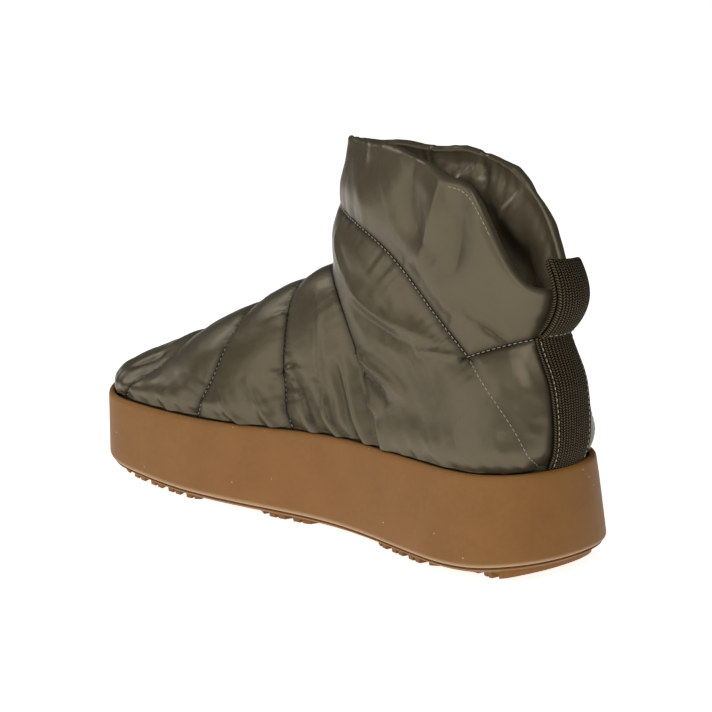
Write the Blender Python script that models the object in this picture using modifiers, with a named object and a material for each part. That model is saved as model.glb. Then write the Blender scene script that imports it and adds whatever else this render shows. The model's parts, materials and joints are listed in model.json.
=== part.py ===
"""Low quilted boot for the right foot: gum platform sole, padded upper, woven heel strap and pull loop.

All sizes are in millimetres, and MM turns them into metres. The boot points along +X, its medial
side is +Y, and it stands on Z = 0. Along the boot, 0 is the back of the heel. Each table has one row
for a section.
"""

import math
from collections import namedtuple

import bmesh
import bpy
import numpy as np

MM = 0.001

# Driving dimensions of the sole
SOLE_LENGTH = 264.0
HEEL_ROUND = 48.0
TOE_ROUND = 60.0
HEEL_POWER = 2.2
TOE_POWER = 2.1
RIM_THICKNESS = 3.4
INSOLE_THICKNESS = 4.6
INSOLE_CLEARANCE = 0.6
PIECE_GAP = 0.3
SOLE_STATIONS = 36

# Driving dimensions of the tread
PLATE_INSET = 2.0
PLATE_THICKNESS = 2.2
PLATE_BEVEL = 2.6
LUG_INSET = 6.0
LUG_TAPER = 0.5
LUG_HEIGHT = 2.6
LUG_PITCH = 12.0
GROOVE_WIDTH = 4.2
ZIGZAG_HEIGHT = 7.0
ZIGZAG_RUNS = (-60.0, -36.0, -12.0, 12.0, 36.0, 60.0)
TREAD_START = 16.0
TREAD_END = 256.0
PLAIN_MIDDLES = (34.0, 106.0, 170.0)
PLAIN_LENGTH = 16.0
PLAIN_INSET = 10.0

SoleSection = namedtuple("SoleSection", "along medial lateral rim bed edge ground flare")
SOLE_SECTIONS = (
    SoleSection(0.0, 42.0, 41.0, 48.6, 37.7, 11.2, 5.8, 5.4),
    SoleSection(28.0, 38.5, 38.5, 46.6, 37.0, 7.0, 0.0, 5.0),
    SoleSection(62.0, 35.5, 38.0, 45.6, 36.1, 5.5, 0.0, 3.2),
    SoleSection(112.0, 33.0, 40.0, 44.6, 34.8, 5.2, 0.0, 1.4),
    SoleSection(154.0, 41.0, 46.0, 42.0, 33.8, 5.2, 0.0, 0.8),
    SoleSection(190.0, 47.0, 50.5, 40.4, 32.8, 5.2, 0.0, 0.6),
    SoleSection(224.0, 50.5, 49.5, 40.0, 32.0, 6.6, 1.4, 0.2),
    SoleSection(247.0, 57.0, 43.5, 40.4, 31.4, 8.6, 3.4, 0.0),
    SoleSection(264.0, 58.0, 42.0, 41.4, 30.9, 12.0, 7.0, -0.6),
)

# Driving dimensions of the upper
UPPER_WALL = 4.0
UPPER_INSET = 4.0
ANKLE_MEDIAL = 38.0
ANKLE_LATERAL = 31.5
TAIL_POWER = 2.0
MEDIAL_NOTCH_LENGTH = 0.18
MEDIAL_NOTCH_POWER = 2.2
LATERAL_NOTCH_LENGTH = 0.20
LATERAL_NOTCH_POWER = 1.6
RIDGE_POWER = 3.0
BACK_POWER = 6.0
AROUND = 72
ROWS_PER_SECTION = 1.5
HIDDEN_LEVEL = 0.9
SHOWN_LEVEL = 1.5

UpperSection = namedtuple(
    "UpperSection", "front_x front_z rear_x rear_z fullness nose point tail ankle notch ridge cant"
)
UPPER_SECTIONS = (
    UpperSection(258.8, 31.5, 4.6, 38.0, 0.985, 58, 2.20, 42, 0.00, 0.00, 8.2, 0.0),
    UpperSection(259.0, 40.8, 4.2, 48.5, 0.993, 58, 2.20, 42, 0.00, 0.00, 8.2, 0.0),
    UpperSection(259.5, 44.8, 2.4, 55.0, 1.020, 60, 2.25, 36, 0.00, 0.00, 8.0, 0.0),
    UpperSection(255.5, 48.8, 1.6, 61.0, 1.005, 66, 2.10, 34, 0.05, 0.00, 8.0, 0.0),
    UpperSection(248.0, 53.2, 1.5, 67.0, 0.975, 72, 2.10, 36, 0.10, 0.00, 7.5, 0.0),
    UpperSection(236.5, 59.2, 1.8, 72.5, 0.945, 77, 2.10, 38, 0.20, 0.00, 7.0, 0.0),
    UpperSection(220.5, 68.0, 2.3, 78.0, 0.910, 80, 2.10, 41, 0.30, 0.00, 6.0, 0.0),
    UpperSection(200.5, 79.0, 3.3, 84.0, 0.870, 80, 2.10, 44, 0.42, 0.10, 5.0, 0.0),
    UpperSection(181.0, 90.0, 5.2, 89.5, 0.830, 76, 2.10, 50, 0.55, 0.15, 4.0, 0.0),
    UpperSection(162.5, 100.5, 7.4, 94.5, 0.790, 68, 2.10, 55, 0.68, 0.25, 3.5, 0.0),
    UpperSection(147.0, 109.0, 9.4, 99.5, 0.750, 58, 2.10, 57, 0.80, 0.35, 3.0, 0.0),
    UpperSection(136.0, 117.0, 10.4, 104.0, 0.715, 50, 2.05, 54, 0.90, 0.45, 2.5, 0.2),
    UpperSection(135.4, 128.0, 10.3, 108.5, 0.685, 46, 1.95, 48, 1.00, 0.60, 2.0, 0.4),
    UpperSection(135.6, 140.0, 10.0, 112.5, 0.660, 46, 1.80, 41, 1.00, 0.75, 2.0, 0.6),
    UpperSection(134.0, 152.0, 9.7, 116.0, 0.635, 50, 1.60, 35, 1.00, 0.88, 2.0, 0.8),
    UpperSection(130.8, 162.0, 9.4, 118.8, 0.615, 58, 1.40, 31, 1.00, 0.95, 2.0, 1.0),
    UpperSection(129.6, 171.0, 9.2, 121.0, 0.600, 68, 1.25, 28, 1.00, 1.00, 2.0, 1.2),
)

# Quilting seams in the side view, from their low end to their high end
SEAM_DEPTH = 2.0
SEAM_WIDTH = 9.0
PUFF_HEIGHT = 0.8
Seam = namedtuple("Seam", "name low_x low_z high_x high_z bow")
SEAMS = (
    Seam("toe", 236.0, 38.0, 216.0, 72.0, 0.0),
    Seam("vamp", 187.0, 38.0, 180.0, 92.0, 3.0),
    Seam("instep", 134.0, 40.0, 152.0, 106.0, 0.0),
    Seam("throat", 83.0, 42.0, 132.0, 117.0, 4.0),
    Seam("ankle", 37.0, 93.0, 136.0, 143.0, 6.0),
    Seam("heel", 6.0, 46.0, 37.0, 93.0, 0.0),
    Seam("counter", 6.0, 103.0, 37.0, 93.0, 0.0),
)

# Rises and dips of the collar's edge, on the medial side (1) or the lateral side (-1)
EdgeWave = namedtuple("EdgeWave", "side height at width")
EDGE_WAVES = (
    EdgeWave(1, 2.6, 0.67, 0.16),
    EdgeWave(1, -5.0, 0.34, 0.085),
    EdgeWave(-1, 1.4, 0.80, 0.06),
    EdgeWave(-1, 2.4, 0.53, 0.11),
)
WAVE_POWER = 4.0

# Driving dimensions of the webbing
STRAP_WIDTH = 22.4
STRAP_THICKNESS = 1.6
STRAP_LOW = 1.09
STRAP_HIGH = 10.45
STRAP_ROWS = 14
STRAP_COLUMNS = 8
LOOP_WIDTH = 19.0
LOOP_THICKNESS = 1.5
LOOP_FOOT_CUP = 14.0
LOOP_TOP_CUP = 22.0
LOOP_LIFT = 0.4
LOOP_TILT = 1.1
LOOP_FOOT_SPREAD = 1.1
LOOP_SPREAD = 1.5
LOOP_COLUMNS = 6
LOOP_ROWS = 14
LOOP_TURN = 5

LoopPoint = namedtuple("LoopPoint", "x z")
LOOP_SPINE = (
    LoopPoint(8.5, 104.4),
    LoopPoint(5.7, 107.6),
    LoopPoint(2.7, 112.4),
    LoopPoint(1.0, 117.0),
    LoopPoint(0.6, 121.2),
    LoopPoint(1.5, 125.6),
    LoopPoint(3.4, 130.2),
    LoopPoint(5.5, 134.0),
)


def column(table, name):
    """One named column of a table as an array."""
    return np.array([getattr(row, name) for row in table], float)


def monotone(knots, values, at):
    """A cubic through the values that never overshoots them, so a level stretch stays level."""
    knots, values, at = (np.asarray(a, float) for a in (knots, values, at))
    steps = np.diff(knots)
    slopes = np.diff(values) / steps
    tangents = np.zeros_like(values)
    tangents[0], tangents[-1] = slopes[0], slopes[-1]
    before, after = slopes[:-1], slopes[1:]
    same_way = before * after > 0
    weight_a = 2 * steps[1:] + steps[:-1]
    weight_b = steps[1:] + 2 * steps[:-1]
    safe_a = np.where(same_way, before, 1.0)
    safe_b = np.where(same_way, after, 1.0)
    mean = (weight_a + weight_b) / (weight_a / safe_a + weight_b / safe_b)
    tangents[1:-1] = np.where(same_way, mean, 0.0)
    index = np.clip(np.searchsorted(knots, at, side="right") - 1, 0, len(steps) - 1)
    step = steps[index]
    t = (at - knots[index]) / step
    return (
        values[index] * (1 + 2 * t) * (1 - t) ** 2
        + tangents[index] * step * t * (1 - t) ** 2
        + values[index + 1] * t**2 * (3 - 2 * t)
        + tangents[index + 1] * step * t**2 * (t - 1)
    )


def natural_spline(knots, values, at):
    """The smooth cubic spline with free ends through the values."""
    knots, values, at = (np.asarray(a, float) for a in (knots, values, at))
    steps = np.diff(knots)
    count = len(knots)
    system = np.eye(count)
    right = np.zeros(count)
    for i in range(1, count - 1):
        system[i, i - 1 : i + 2] = steps[i - 1], 2 * (steps[i - 1] + steps[i]), steps[i]
        right[i] = 6 * ((values[i + 1] - values[i]) / steps[i] - (values[i] - values[i - 1]) / steps[i - 1])
    bends = np.linalg.solve(system, right)
    index = np.clip(np.searchsorted(knots, at, side="right") - 1, 0, count - 2)
    step = steps[index]
    a = (knots[index + 1] - at) / step
    b = (at - knots[index]) / step
    curve = (a**3 - a) * bends[index] + (b**3 - b) * bends[index + 1]
    return a * values[index] + b * values[index + 1] + curve * step**2 / 6


def rounded_end(distance, length, power):
    """Share of the full width at a distance from a rounded end of this length."""
    reach = np.clip(1 - distance / length, 0, 1)
    return (1 - reach**power) ** (1 / power)


def sole_level(name, along):
    """A height or flare of the sole at distances from the heel."""
    return monotone(column(SOLE_SECTIONS, "along"), column(SOLE_SECTIONS, name), along)


def sole_halves(along):
    """Medial and lateral half widths of the sole before its ends are rounded."""
    knots = column(SOLE_SECTIONS, "along")
    return tuple(natural_spline(knots, column(SOLE_SECTIONS, side), along) for side in ("medial", "lateral"))


def sole_ring(inset, height, flare_share=0.0, stations=SOLE_STATIONS):
    """A closed ring round the sole: heel, medial side, toe, lateral side.

    The rim's outline is moved in by inset, out by a share of the flare, and lifted to height(along).
    """
    x = (1 - np.cos(np.linspace(0, math.pi, stations + 1))) / 2 * SOLE_LENGTH
    medial, lateral = sole_halves(x)
    taper = rounded_end(x, HEEL_ROUND, HEEL_POWER) * rounded_end(SOLE_LENGTH - x, TOE_ROUND, TOE_POWER)
    centre, half = (medial - lateral) / 2, (medial + lateral) / 2 * taper
    back = slice(-2, 0, -1)
    ring_x = np.concatenate([x, x[back]])
    ring_y = np.concatenate([centre + half, (centre - half)[back]])
    along = ring_x.copy()
    run_x = np.roll(ring_x, -1) - np.roll(ring_x, 1)
    run_y = np.roll(ring_y, -1) - np.roll(ring_y, 1)
    length = np.hypot(run_x, run_y)
    moved_in = inset(along) if callable(inset) else inset
    outward = flare_share * sole_level("flare", along) - moved_in
    return np.stack(
        [
            ring_x - outward * run_y / length,
            ring_y + outward * run_x / length,
            height(along),
        ],
        axis=1,
    )


def upper_form(around, level):
    """Outer surface of the upper before quilting, at angles from the toe line and at section numbers."""
    numbers = np.arange(len(UPPER_SECTIONS))
    row = {
        name: natural_spline(numbers, column(UPPER_SECTIONS, name), level)
        for name in UpperSection._fields
    }
    share = (1 + np.cos(around)) / 2
    x = row["rear_x"] + (row["front_x"] - row["rear_x"]) * share
    medial, lateral = sole_halves(np.clip(x, 0, SOLE_LENGTH))
    ankle = np.clip(row["ankle"], 0, 1)
    medial = (medial - UPPER_INSET) * (1 - ankle) + ANKLE_MEDIAL * ankle
    lateral = (lateral - UPPER_INSET) * (1 - ankle) + ANKLE_LATERAL * ankle
    taper = rounded_end(row["front_x"] - x, row["nose"], row["point"])
    taper = taper * rounded_end(x - row["rear_x"], row["tail"], TAIL_POWER)
    centre = (medial - lateral) / 2 * (1 - (1 - share) ** BACK_POWER)
    front_medial, front_lateral = sole_halves(np.clip(row["front_x"], 0, SOLE_LENGTH))
    front_centre = (front_medial - front_lateral) / 2 * (1 - ankle)
    front_centre = front_centre + (ANKLE_MEDIAL - ANKLE_LATERAL) / 2 * ankle
    centre = centre + (row["ridge"] - front_centre) * share**RIDGE_POWER
    half = (medial + lateral) / 2 * row["fullness"] * taper
    on_medial = np.sin(around) >= 0
    notch_length = np.where(on_medial, MEDIAL_NOTCH_LENGTH, LATERAL_NOTCH_LENGTH)
    notch_power = np.where(on_medial, MEDIAL_NOTCH_POWER, LATERAL_NOTCH_POWER)
    notch = 1 - np.exp(-((share / notch_length) ** notch_power))
    rise = share + (notch - share) * np.clip(row["notch"], 0, 1)
    z = row["rear_z"] + (row["front_z"] - row["rear_z"]) * rise + row["cant"] * np.sin(around)
    for wave in EDGE_WAVES:
        on_side = np.maximum(np.sin(around) * wave.side, 0) * np.clip(row["notch"], 0, 1) ** WAVE_POWER
        z = z + wave.height * on_side * np.exp(-(((share - wave.at) / wave.width) ** 2))
    side = np.where(np.sin(around) >= 0, 1.0, -1.0)
    return np.stack([x, centre + side * half, z], axis=-1)


def seam_distance(x, z, seam):
    """Distance in the side view from a bowed seam line."""
    run_x, run_z = seam.high_x - seam.low_x, seam.high_z - seam.low_z
    length = math.hypot(run_x, run_z)
    along = ((x - seam.low_x) * run_x + (z - seam.low_z) * run_z) / length
    aside = ((x - seam.low_x) * run_z - (z - seam.low_z) * run_x) / length
    share = np.clip(along / length, 0, 1)
    aside = aside + seam.bow * 4 * share * (1 - share)
    return np.hypot(aside, along - share * length)


def quilting(points):
    """How far the padded skin stands out of the upper's form."""
    x, z = points[..., 0], points[..., 2]
    nearest = np.min([seam_distance(x, z, seam) for seam in SEAMS], axis=0)
    return PUFF_HEIGHT - (PUFF_HEIGHT + SEAM_DEPTH) * np.exp(-((nearest / SEAM_WIDTH) ** 2))


def upper_normals(around, level):
    """Unit normals that point out of the upper's form."""
    last = len(UPPER_SECTIONS) - 1
    step = 0.02
    ahead = upper_form(around + step, level) - upper_form(around - step, level)
    above = upper_form(around, np.clip(level + step, 0, last))
    below = upper_form(around, np.clip(level - step, 0, last))
    normals = np.cross(ahead, above - below)
    return normals / np.linalg.norm(normals, axis=-1, keepdims=True)


def upper_skin(around, level):
    """Outer surface of the quilted upper, plain where the cup hides it."""
    form = upper_form(around, level)
    shown = np.clip((level - HIDDEN_LEVEL) / (SHOWN_LEVEL - HIDDEN_LEVEL), 0, 1)
    return form + (shown * quilting(form))[..., None] * upper_normals(around, level)


def around_angles():
    """Angles round the upper, with none on the toe line so that both sides pair up."""
    return (np.arange(AROUND) + 0.5) * 2 * math.pi / AROUND


def upper_rings():
    """The upper's sections from the feather edge to the collar, as closed rings."""
    around = around_angles()
    last = len(UPPER_SECTIONS) - 1
    levels = np.linspace(0, last, int(last * ROWS_PER_SECTION) + 1)
    return [upper_skin(around, np.full(AROUND, level)) for level in levels]


def heel_strip(offsets, level, lift):
    """Points across the back of the upper at distances from its centre, lifted off its surface."""
    around = math.pi + np.linspace(1.1, -1.1, 221)
    level = np.full(around.shape, level)
    line = upper_form(around, level)
    steps = np.linalg.norm(np.diff(line, axis=0), axis=1)
    run = np.concatenate([[0.0], np.cumsum(steps)])
    run = run - run[len(run) // 2]
    lifted = line + (lift + PUFF_HEIGHT) * upper_normals(around, level)
    return np.stack([np.interp(offsets, run, lifted[:, axis]) for axis in range(3)], axis=1)


def frame_shift():
    """Moves the middle of the sole's box to the origin."""
    foot = sole_ring(0.0, np.zeros_like, flare_share=1.0)
    rim = sole_ring(0.0, np.zeros_like)
    both = np.concatenate([foot, rim])
    middle = (both.min(axis=0) + both.max(axis=0)) / 2
    return np.array([-middle[0], -middle[1], 0.0])


SHIFT = frame_shift()


def placed(points):
    """Points of the boot's own sizes as metres in the shared frame."""
    return [tuple(p) for p in (np.asarray(points) + SHIFT) * MM]


def new_object(name, bm, collection):
    """A mesh object made from a bmesh."""
    mesh = bpy.data.meshes.new(name)
    bmesh.ops.recalc_face_normals(bm, faces=bm.faces)
    bm.to_mesh(mesh)
    bm.free()
    obj = bpy.data.objects.new(name, mesh)
    collection.objects.link(obj)
    return obj


def loft(bm, rings, closed=True):
    """Joins rings of equal length with quads, and returns the rings' vertices."""
    made = [[bm.verts.new(p) for p in placed(ring)] for ring in rings]
    for low, high in zip(made, made[1:]):
        count = len(low)
        for i in range(count if closed else count - 1):
            j = (i + 1) % count
            bm.faces.new((low[i], low[j], high[j], high[i]))
    return made


def ladder_cap(bm, ring, tips):
    """Closes a ring with rungs from its medial to its lateral side.

    A ring with tips starts on its middle line at a single point and has another opposite to it.
    """
    half = len(ring) // 2
    medial = ring[: half + 1] if tips else ring[:half]
    lateral = [ring[0]] + ring[:half:-1] + [ring[half]] if tips else ring[: half - 1 : -1]
    for i in range(len(medial) - 1):
        corners = (medial[i], medial[i + 1], lateral[i + 1], lateral[i])
        bm.faces.new(tuple(dict.fromkeys(corners)))


def capped_solid(name, rings, collection, tips=True):
    """A closed solid through rings, with a cap at each end."""
    bm = bmesh.new()
    made = loft(bm, rings)
    ladder_cap(bm, made[0], tips)
    ladder_cap(bm, made[-1], tips)
    return new_object(name, bm, collection)


def thick_strip(name, inside, outside, collection, closed=False):
    """A band with two faces and closed edges, from rows of points across it."""
    bm = bmesh.new()
    rings = [np.concatenate([low, high[::-1]]) for low, high in zip(inside, outside)]
    if closed:
        rings.append(rings[0])
    made = loft(bm, rings)
    if closed:
        bmesh.ops.remove_doubles(bm, verts=bm.verts, dist=0.01 * MM)
    else:
        bm.faces.new(made[0])
        bm.faces.new(made[-1])
    return new_object(name, bm, collection)


def height_of(name, lift=0.0):
    """A named height of the sole, lifted, as a function of the distance from the heel."""
    return lambda along: sole_level(name, along) + lift


def mid_wall(along):
    """Height halfway up the platform wall."""
    return (sole_level("edge", along) + sole_level("rim", along)) / 2


def make_midsole(collection):
    """Platform cup: a flared wall with a rounded rim round a bed for the upper."""
    rings = (
        sole_ring(2.2, height_of("edge"), 1.0),
        sole_ring(0.6, height_of("edge", 1.0), 0.98),
        sole_ring(0.0, height_of("edge", 2.8), 0.93),
        sole_ring(0.0, mid_wall, 0.5),
        sole_ring(0.0, height_of("rim", -2.0)),
        sole_ring(0.9, height_of("rim", -0.2)),
        sole_ring(2.2, height_of("rim")),
        sole_ring(RIM_THICKNESS, height_of("rim", -1.4)),
        sole_ring(RIM_THICKNESS, height_of("bed")),
    )
    return capped_solid("midsole", rings, collection)


def lug_inset(x):
    """How far the lugs stand in from the wall, more in the plain stretches."""
    inset = np.full(np.shape(x), LUG_INSET)
    for middle in PLAIN_MIDDLES:
        inset = inset + PLAIN_INSET * np.exp(-(((x - middle) / PLAIN_LENGTH) ** 4))
    return inset


def lug_foot_inset(x):
    """How far the lugs' feet stand in, with their taper."""
    return lug_inset(x) + LUG_TAPER


def zigzag_groove(bm, x, root):
    """One groove cutter across the tread, a zigzag prism from below the ground up to the lugs' root."""
    corners = []
    for i, y in enumerate(ZIGZAG_RUNS):
        shift = ZIGZAG_HEIGHT / 2 * (-1) ** i
        corners.append((x + shift, y))
    rings = []
    for cx, cy in corners:
        low, high = cx - GROOVE_WIDTH / 2, cx + GROOVE_WIDTH / 2
        rings.append(np.array([(low, cy, -6.0), (high, cy, -6.0), (high, cy, root), (low, cy, root)]))
    made = loft(bm, rings)
    bm.faces.new(made[0])
    bm.faces.new(made[-1])


def make_outsole(collection, cutters):
    """Tread plate with a bevelled edge and zigzag lugs below it."""
    plate_top = height_of("edge", -PIECE_GAP)
    plate_edge = height_of("edge", -PIECE_GAP - 0.5)
    plate_low = height_of("edge", -PIECE_GAP - PLATE_THICKNESS)
    rings = (
        sole_ring(PLATE_INSET + 0.6, plate_top, 1.0),
        sole_ring(PLATE_INSET, plate_edge, 1.0),
        sole_ring(PLATE_INSET + PLATE_BEVEL, plate_low, 1.0),
        sole_ring(lug_inset, plate_low, 1.0),
        sole_ring(lug_foot_inset, height_of("ground"), 1.0),
    )
    outsole = capped_solid("outsole", rings, collection)
    bm = bmesh.new()
    for x in np.arange(TREAD_START, TREAD_END, LUG_PITCH):
        zigzag_groove(bm, x, float(sole_level("ground", x)) + LUG_HEIGHT)
    grooves = new_object("tread_grooves", bm, cutters)
    grooves.display_type = "WIRE"
    grooves.hide_render = True
    cut = outsole.modifiers.new("grooves", "BOOLEAN")
    cut.operation = "DIFFERENCE"
    cut.solver = "EXACT"
    cut.object = grooves
    return outsole


def make_insole(collection):
    """Footbed that lies inside the upper on the midsole's bed."""
    around = around_angles()
    feather = upper_form(around, np.zeros(AROUND))
    inward = -upper_normals(around, np.full(AROUND, 0.5))
    inward[:, 2] = 0
    rings = []
    for height, inset in ((0.0, 0.0), (INSOLE_THICKNESS - 1.2, 0.0), (INSOLE_THICKNESS, 1.2)):
        ring = feather + inward * (UPPER_WALL + INSOLE_CLEARANCE + inset)
        ring[:, 2] = sole_level("bed", ring[:, 0]) + PIECE_GAP + height
        rings.append(ring)
    return capped_solid("insole", rings, collection, tips=False)


def make_upper(collection):
    """Hollow quilted shell, open underneath and at the collar."""
    bm = bmesh.new()
    loft(bm, upper_rings())
    upper = new_object("upper", bm, collection)
    wall = upper.modifiers.new("wall", "SOLIDIFY")
    wall.thickness = UPPER_WALL * MM
    wall.offset = -1.0
    wall.use_even_offset = True
    wall.use_quality_normals = True
    facets = upper.modifiers.new("facets", "TRIANGULATE")
    facets.quad_method = "SHORTEST_DIAGONAL"
    return upper


def make_heel_strap(collection):
    """Woven strip up the back of the heel, cut from the upper's own surface."""
    offsets = np.linspace(-STRAP_WIDTH / 2, STRAP_WIDTH / 2, STRAP_COLUMNS + 1)
    levels = np.linspace(STRAP_LOW, STRAP_HIGH, STRAP_ROWS + 1)
    inside = [heel_strip(offsets, level, PIECE_GAP) for level in levels]
    outside = [heel_strip(offsets, level, PIECE_GAP + STRAP_THICKNESS) for level in levels]
    return thick_strip("heel_strap", inside, outside, collection)


def loop_line():
    """Middle line of the loop's webbing: up its front layer, over the top, down its outer layer and round its foot."""
    knots = np.arange(len(LOOP_SPINE))
    at = np.linspace(0, knots[-1], LOOP_ROWS + 1)
    spine = np.stack([natural_spline(knots, column(LOOP_SPINE, axis), at) for axis in "xz"], axis=1)
    ahead = np.gradient(spine, axis=0)
    ahead = ahead / np.linalg.norm(ahead, axis=1, keepdims=True)
    front = np.stack([ahead[:, 1], -ahead[:, 0]], axis=1)
    share = np.sin(math.pi * at / at[-1]) ** 0.7
    spread = (LOOP_FOOT_SPREAD + (LOOP_SPREAD - LOOP_FOOT_SPREAD) * share)[:, None]
    turn = np.linspace(0, math.pi, LOOP_TURN + 2)[1:-1, None]
    top = spine[-1] + spread[-1] * (np.cos(turn) * front[-1] + np.sin(turn) * ahead[-1])
    foot = spine[0] - spread[0] * (np.cos(turn) * front[0] + np.sin(turn) * ahead[0])
    return np.concatenate([spine + spread * front, top, (spine - spread * front)[::-1], foot])


def make_pull_loop(collection):
    """Folded webbing loop that leans away from the collar, cupped round the back of the ankle."""
    x, z = loop_line().T
    run_x = np.roll(x, -1) - np.roll(x, 1)
    run_z = np.roll(z, -1) - np.roll(z, 1)
    length = np.hypot(run_x, run_z)
    side = np.linspace(-LOOP_WIDTH / 2, LOOP_WIDTH / 2, LOOP_COLUMNS + 1)
    up = (z - z.min()) / (z.max() - z.min())
    cup = LOOP_FOOT_CUP + (LOOP_TOP_CUP - LOOP_FOOT_CUP) * up
    tilt = np.outer(up**2, LOOP_LIFT + LOOP_TILT * side / side.max())
    faces = []
    for reach in (-LOOP_THICKNESS / 2, LOOP_THICKNESS / 2):
        face_x = x - reach * run_z / length
        face_z = z + reach * run_x / length
        faces.append([
            np.stack([fx + side**2 / (2 * round_up), side, fz + lift], axis=1)
            for fx, fz, round_up, lift in zip(face_x, face_z, cup, tilt)
        ])
    return thick_strip("pull_loop", faces[0], faces[1], collection, closed=True)


Finish = namedtuple("Finish", "slot color roughness")
FINISHES = {
    "outsole": Finish("gum_tread", (0.26, 0.125, 0.045, 1.0), 0.62),
    "midsole": Finish("gum_rubber", (0.26, 0.125, 0.045, 1.0), 0.58),
    "insole": Finish("footbed_cloth", (0.05, 0.045, 0.035, 1.0), 0.9),
    "upper": Finish("quilted_nylon", (0.125, 0.105, 0.07, 1.0), 0.42),
    "heel_strap": Finish("strap_webbing", (0.04, 0.033, 0.02, 1.0), 0.85),
    "pull_loop": Finish("loop_webbing", (0.04, 0.033, 0.02, 1.0), 0.85),
}


def give_finish(obj):
    """Puts the piece's own material on it."""
    finish = FINISHES[obj.name]
    material = bpy.data.materials.new(finish.slot)
    material.use_nodes = True
    shader = material.node_tree.nodes["Principled BSDF"]
    shader.inputs["Base Color"].default_value = finish.color
    shader.inputs["Roughness"].default_value = finish.roughness
    obj.data.materials.append(material)


def new_collection(name):
    """An empty collection in the scene."""
    collection = bpy.data.collections.new(name)
    bpy.context.scene.collection.children.link(collection)
    return collection


def main():
    """Builds the boot from the ground up."""
    for obj in list(bpy.data.objects):
        bpy.data.objects.remove(obj)
    boot = new_collection("low_boot")
    cutters = new_collection("cutters")
    cutters.hide_render = True
    pieces = (
        make_outsole(boot, cutters),
        make_midsole(boot),
        make_insole(boot),
        make_upper(boot),
        make_heel_strap(boot),
        make_pull_loop(boot),
    )
    for piece in pieces:
        give_finish(piece)


main()
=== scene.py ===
"""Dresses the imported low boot: satin quilted upper, gum platform sole, woven heel strap and pull loop.

Sizes are in millimetres from the back of the heel, as on the bench: X runs to the toe, Y to the medial side
and Z up from the ground. The bench's zero sits HEEL_TO_FRAME away from the shared frame's origin.
"""

import json
import logging
import math
from dataclasses import dataclass
from enum import Enum
from functools import partial
from typing import Callable, Iterable, NamedTuple, Sequence

import bmesh
import bpy
import numpy as np
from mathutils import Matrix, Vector, noise

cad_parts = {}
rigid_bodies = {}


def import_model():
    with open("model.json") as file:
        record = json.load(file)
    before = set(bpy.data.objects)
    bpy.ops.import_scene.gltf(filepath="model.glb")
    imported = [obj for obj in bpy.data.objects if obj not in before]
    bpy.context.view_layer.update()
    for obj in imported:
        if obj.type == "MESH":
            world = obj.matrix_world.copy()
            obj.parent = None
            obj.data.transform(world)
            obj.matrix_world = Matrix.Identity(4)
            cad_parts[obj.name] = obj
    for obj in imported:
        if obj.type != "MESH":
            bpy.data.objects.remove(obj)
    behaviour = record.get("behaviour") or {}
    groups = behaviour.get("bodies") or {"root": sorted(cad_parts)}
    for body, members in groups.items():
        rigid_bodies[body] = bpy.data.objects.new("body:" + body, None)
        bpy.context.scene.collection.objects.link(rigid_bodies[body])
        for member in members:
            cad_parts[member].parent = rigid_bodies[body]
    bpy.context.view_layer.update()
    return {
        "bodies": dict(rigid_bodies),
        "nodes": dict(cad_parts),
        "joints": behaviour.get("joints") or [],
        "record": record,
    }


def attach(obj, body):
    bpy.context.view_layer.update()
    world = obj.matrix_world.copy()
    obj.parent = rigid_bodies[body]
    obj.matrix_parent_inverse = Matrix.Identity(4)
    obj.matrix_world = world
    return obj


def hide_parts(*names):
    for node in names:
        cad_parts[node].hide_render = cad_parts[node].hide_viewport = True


LOG = logging.getLogger("low_boot")
MM = 0.001
HEEL_TO_FRAME = np.array([-129.3, 1.572, 0.0])
BODY = "root"
CLOUD_FALL = 0.9
CLOUD_STEP = 2.1
Array = np.ndarray
Piece = bpy.types.Object
Vert = bmesh.types.BMVert
Height = Callable[[Array], Array]


class Side(Enum):
    """The two sides of the boot, as the sign of Y."""

    MEDIAL = 1.0
    LATERAL = -1.0


def column(table: Sequence[object], name: str) -> Array:
    """One named column of a table as an array."""
    return np.array([getattr(row, name) for row in table], float)


def bell(distance: Array, width: Array | float) -> Array:
    """A smooth hump: one at no distance, falling to nought past the width."""
    return np.exp(-((distance / width) ** 2))


def unit(vectors: Array) -> Array:
    """Vectors at a length of one, with the axes last."""
    return vectors / np.linalg.norm(vectors, axis=-1, keepdims=True)


def run_along(line: Array) -> Array:
    """Distances of a line's points from its start."""
    return np.concatenate([[0.0], np.cumsum(np.linalg.norm(np.diff(line, axis=0), axis=1))])


def read_along(at: Array, run: Array, rows: Array) -> Array:
    """Rows of values read at distances along a line whose points lie at other ones."""
    return np.stack([np.interp(at, run, rows[:, axis]) for axis in range(rows.shape[1])], axis=1)


def natural_spline(knots: Array, values: Array, at: Array) -> Array:
    """The smooth cubic spline with free ends through the values.

    Args:
        knots: Increasing places of the values.
        values: One value for each knot.
        at: Places to read.

    Returns:
        The spline's values at those places.
    """
    knots, values, at = (np.asarray(a, float) for a in (knots, values, at))
    steps = np.diff(knots)
    count = len(knots)
    system = np.eye(count)
    right = np.zeros(count)
    for i in range(1, count - 1):
        system[i, i - 1 : i + 2] = steps[i - 1], 2 * (steps[i - 1] + steps[i]), steps[i]
        right[i] = 6 * ((values[i + 1] - values[i]) / steps[i] - (values[i] - values[i - 1]) / steps[i - 1])
    bends = np.linalg.solve(system, right)
    index = np.clip(np.searchsorted(knots, at, side="right") - 1, 0, count - 2)
    step = steps[index]
    a = (knots[index + 1] - at) / step
    b = (at - knots[index]) / step
    curve = (a**3 - a) * bends[index] + (b**3 - b) * bends[index + 1]
    return a * values[index] + b * values[index + 1] + curve * step**2 / 6


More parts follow.
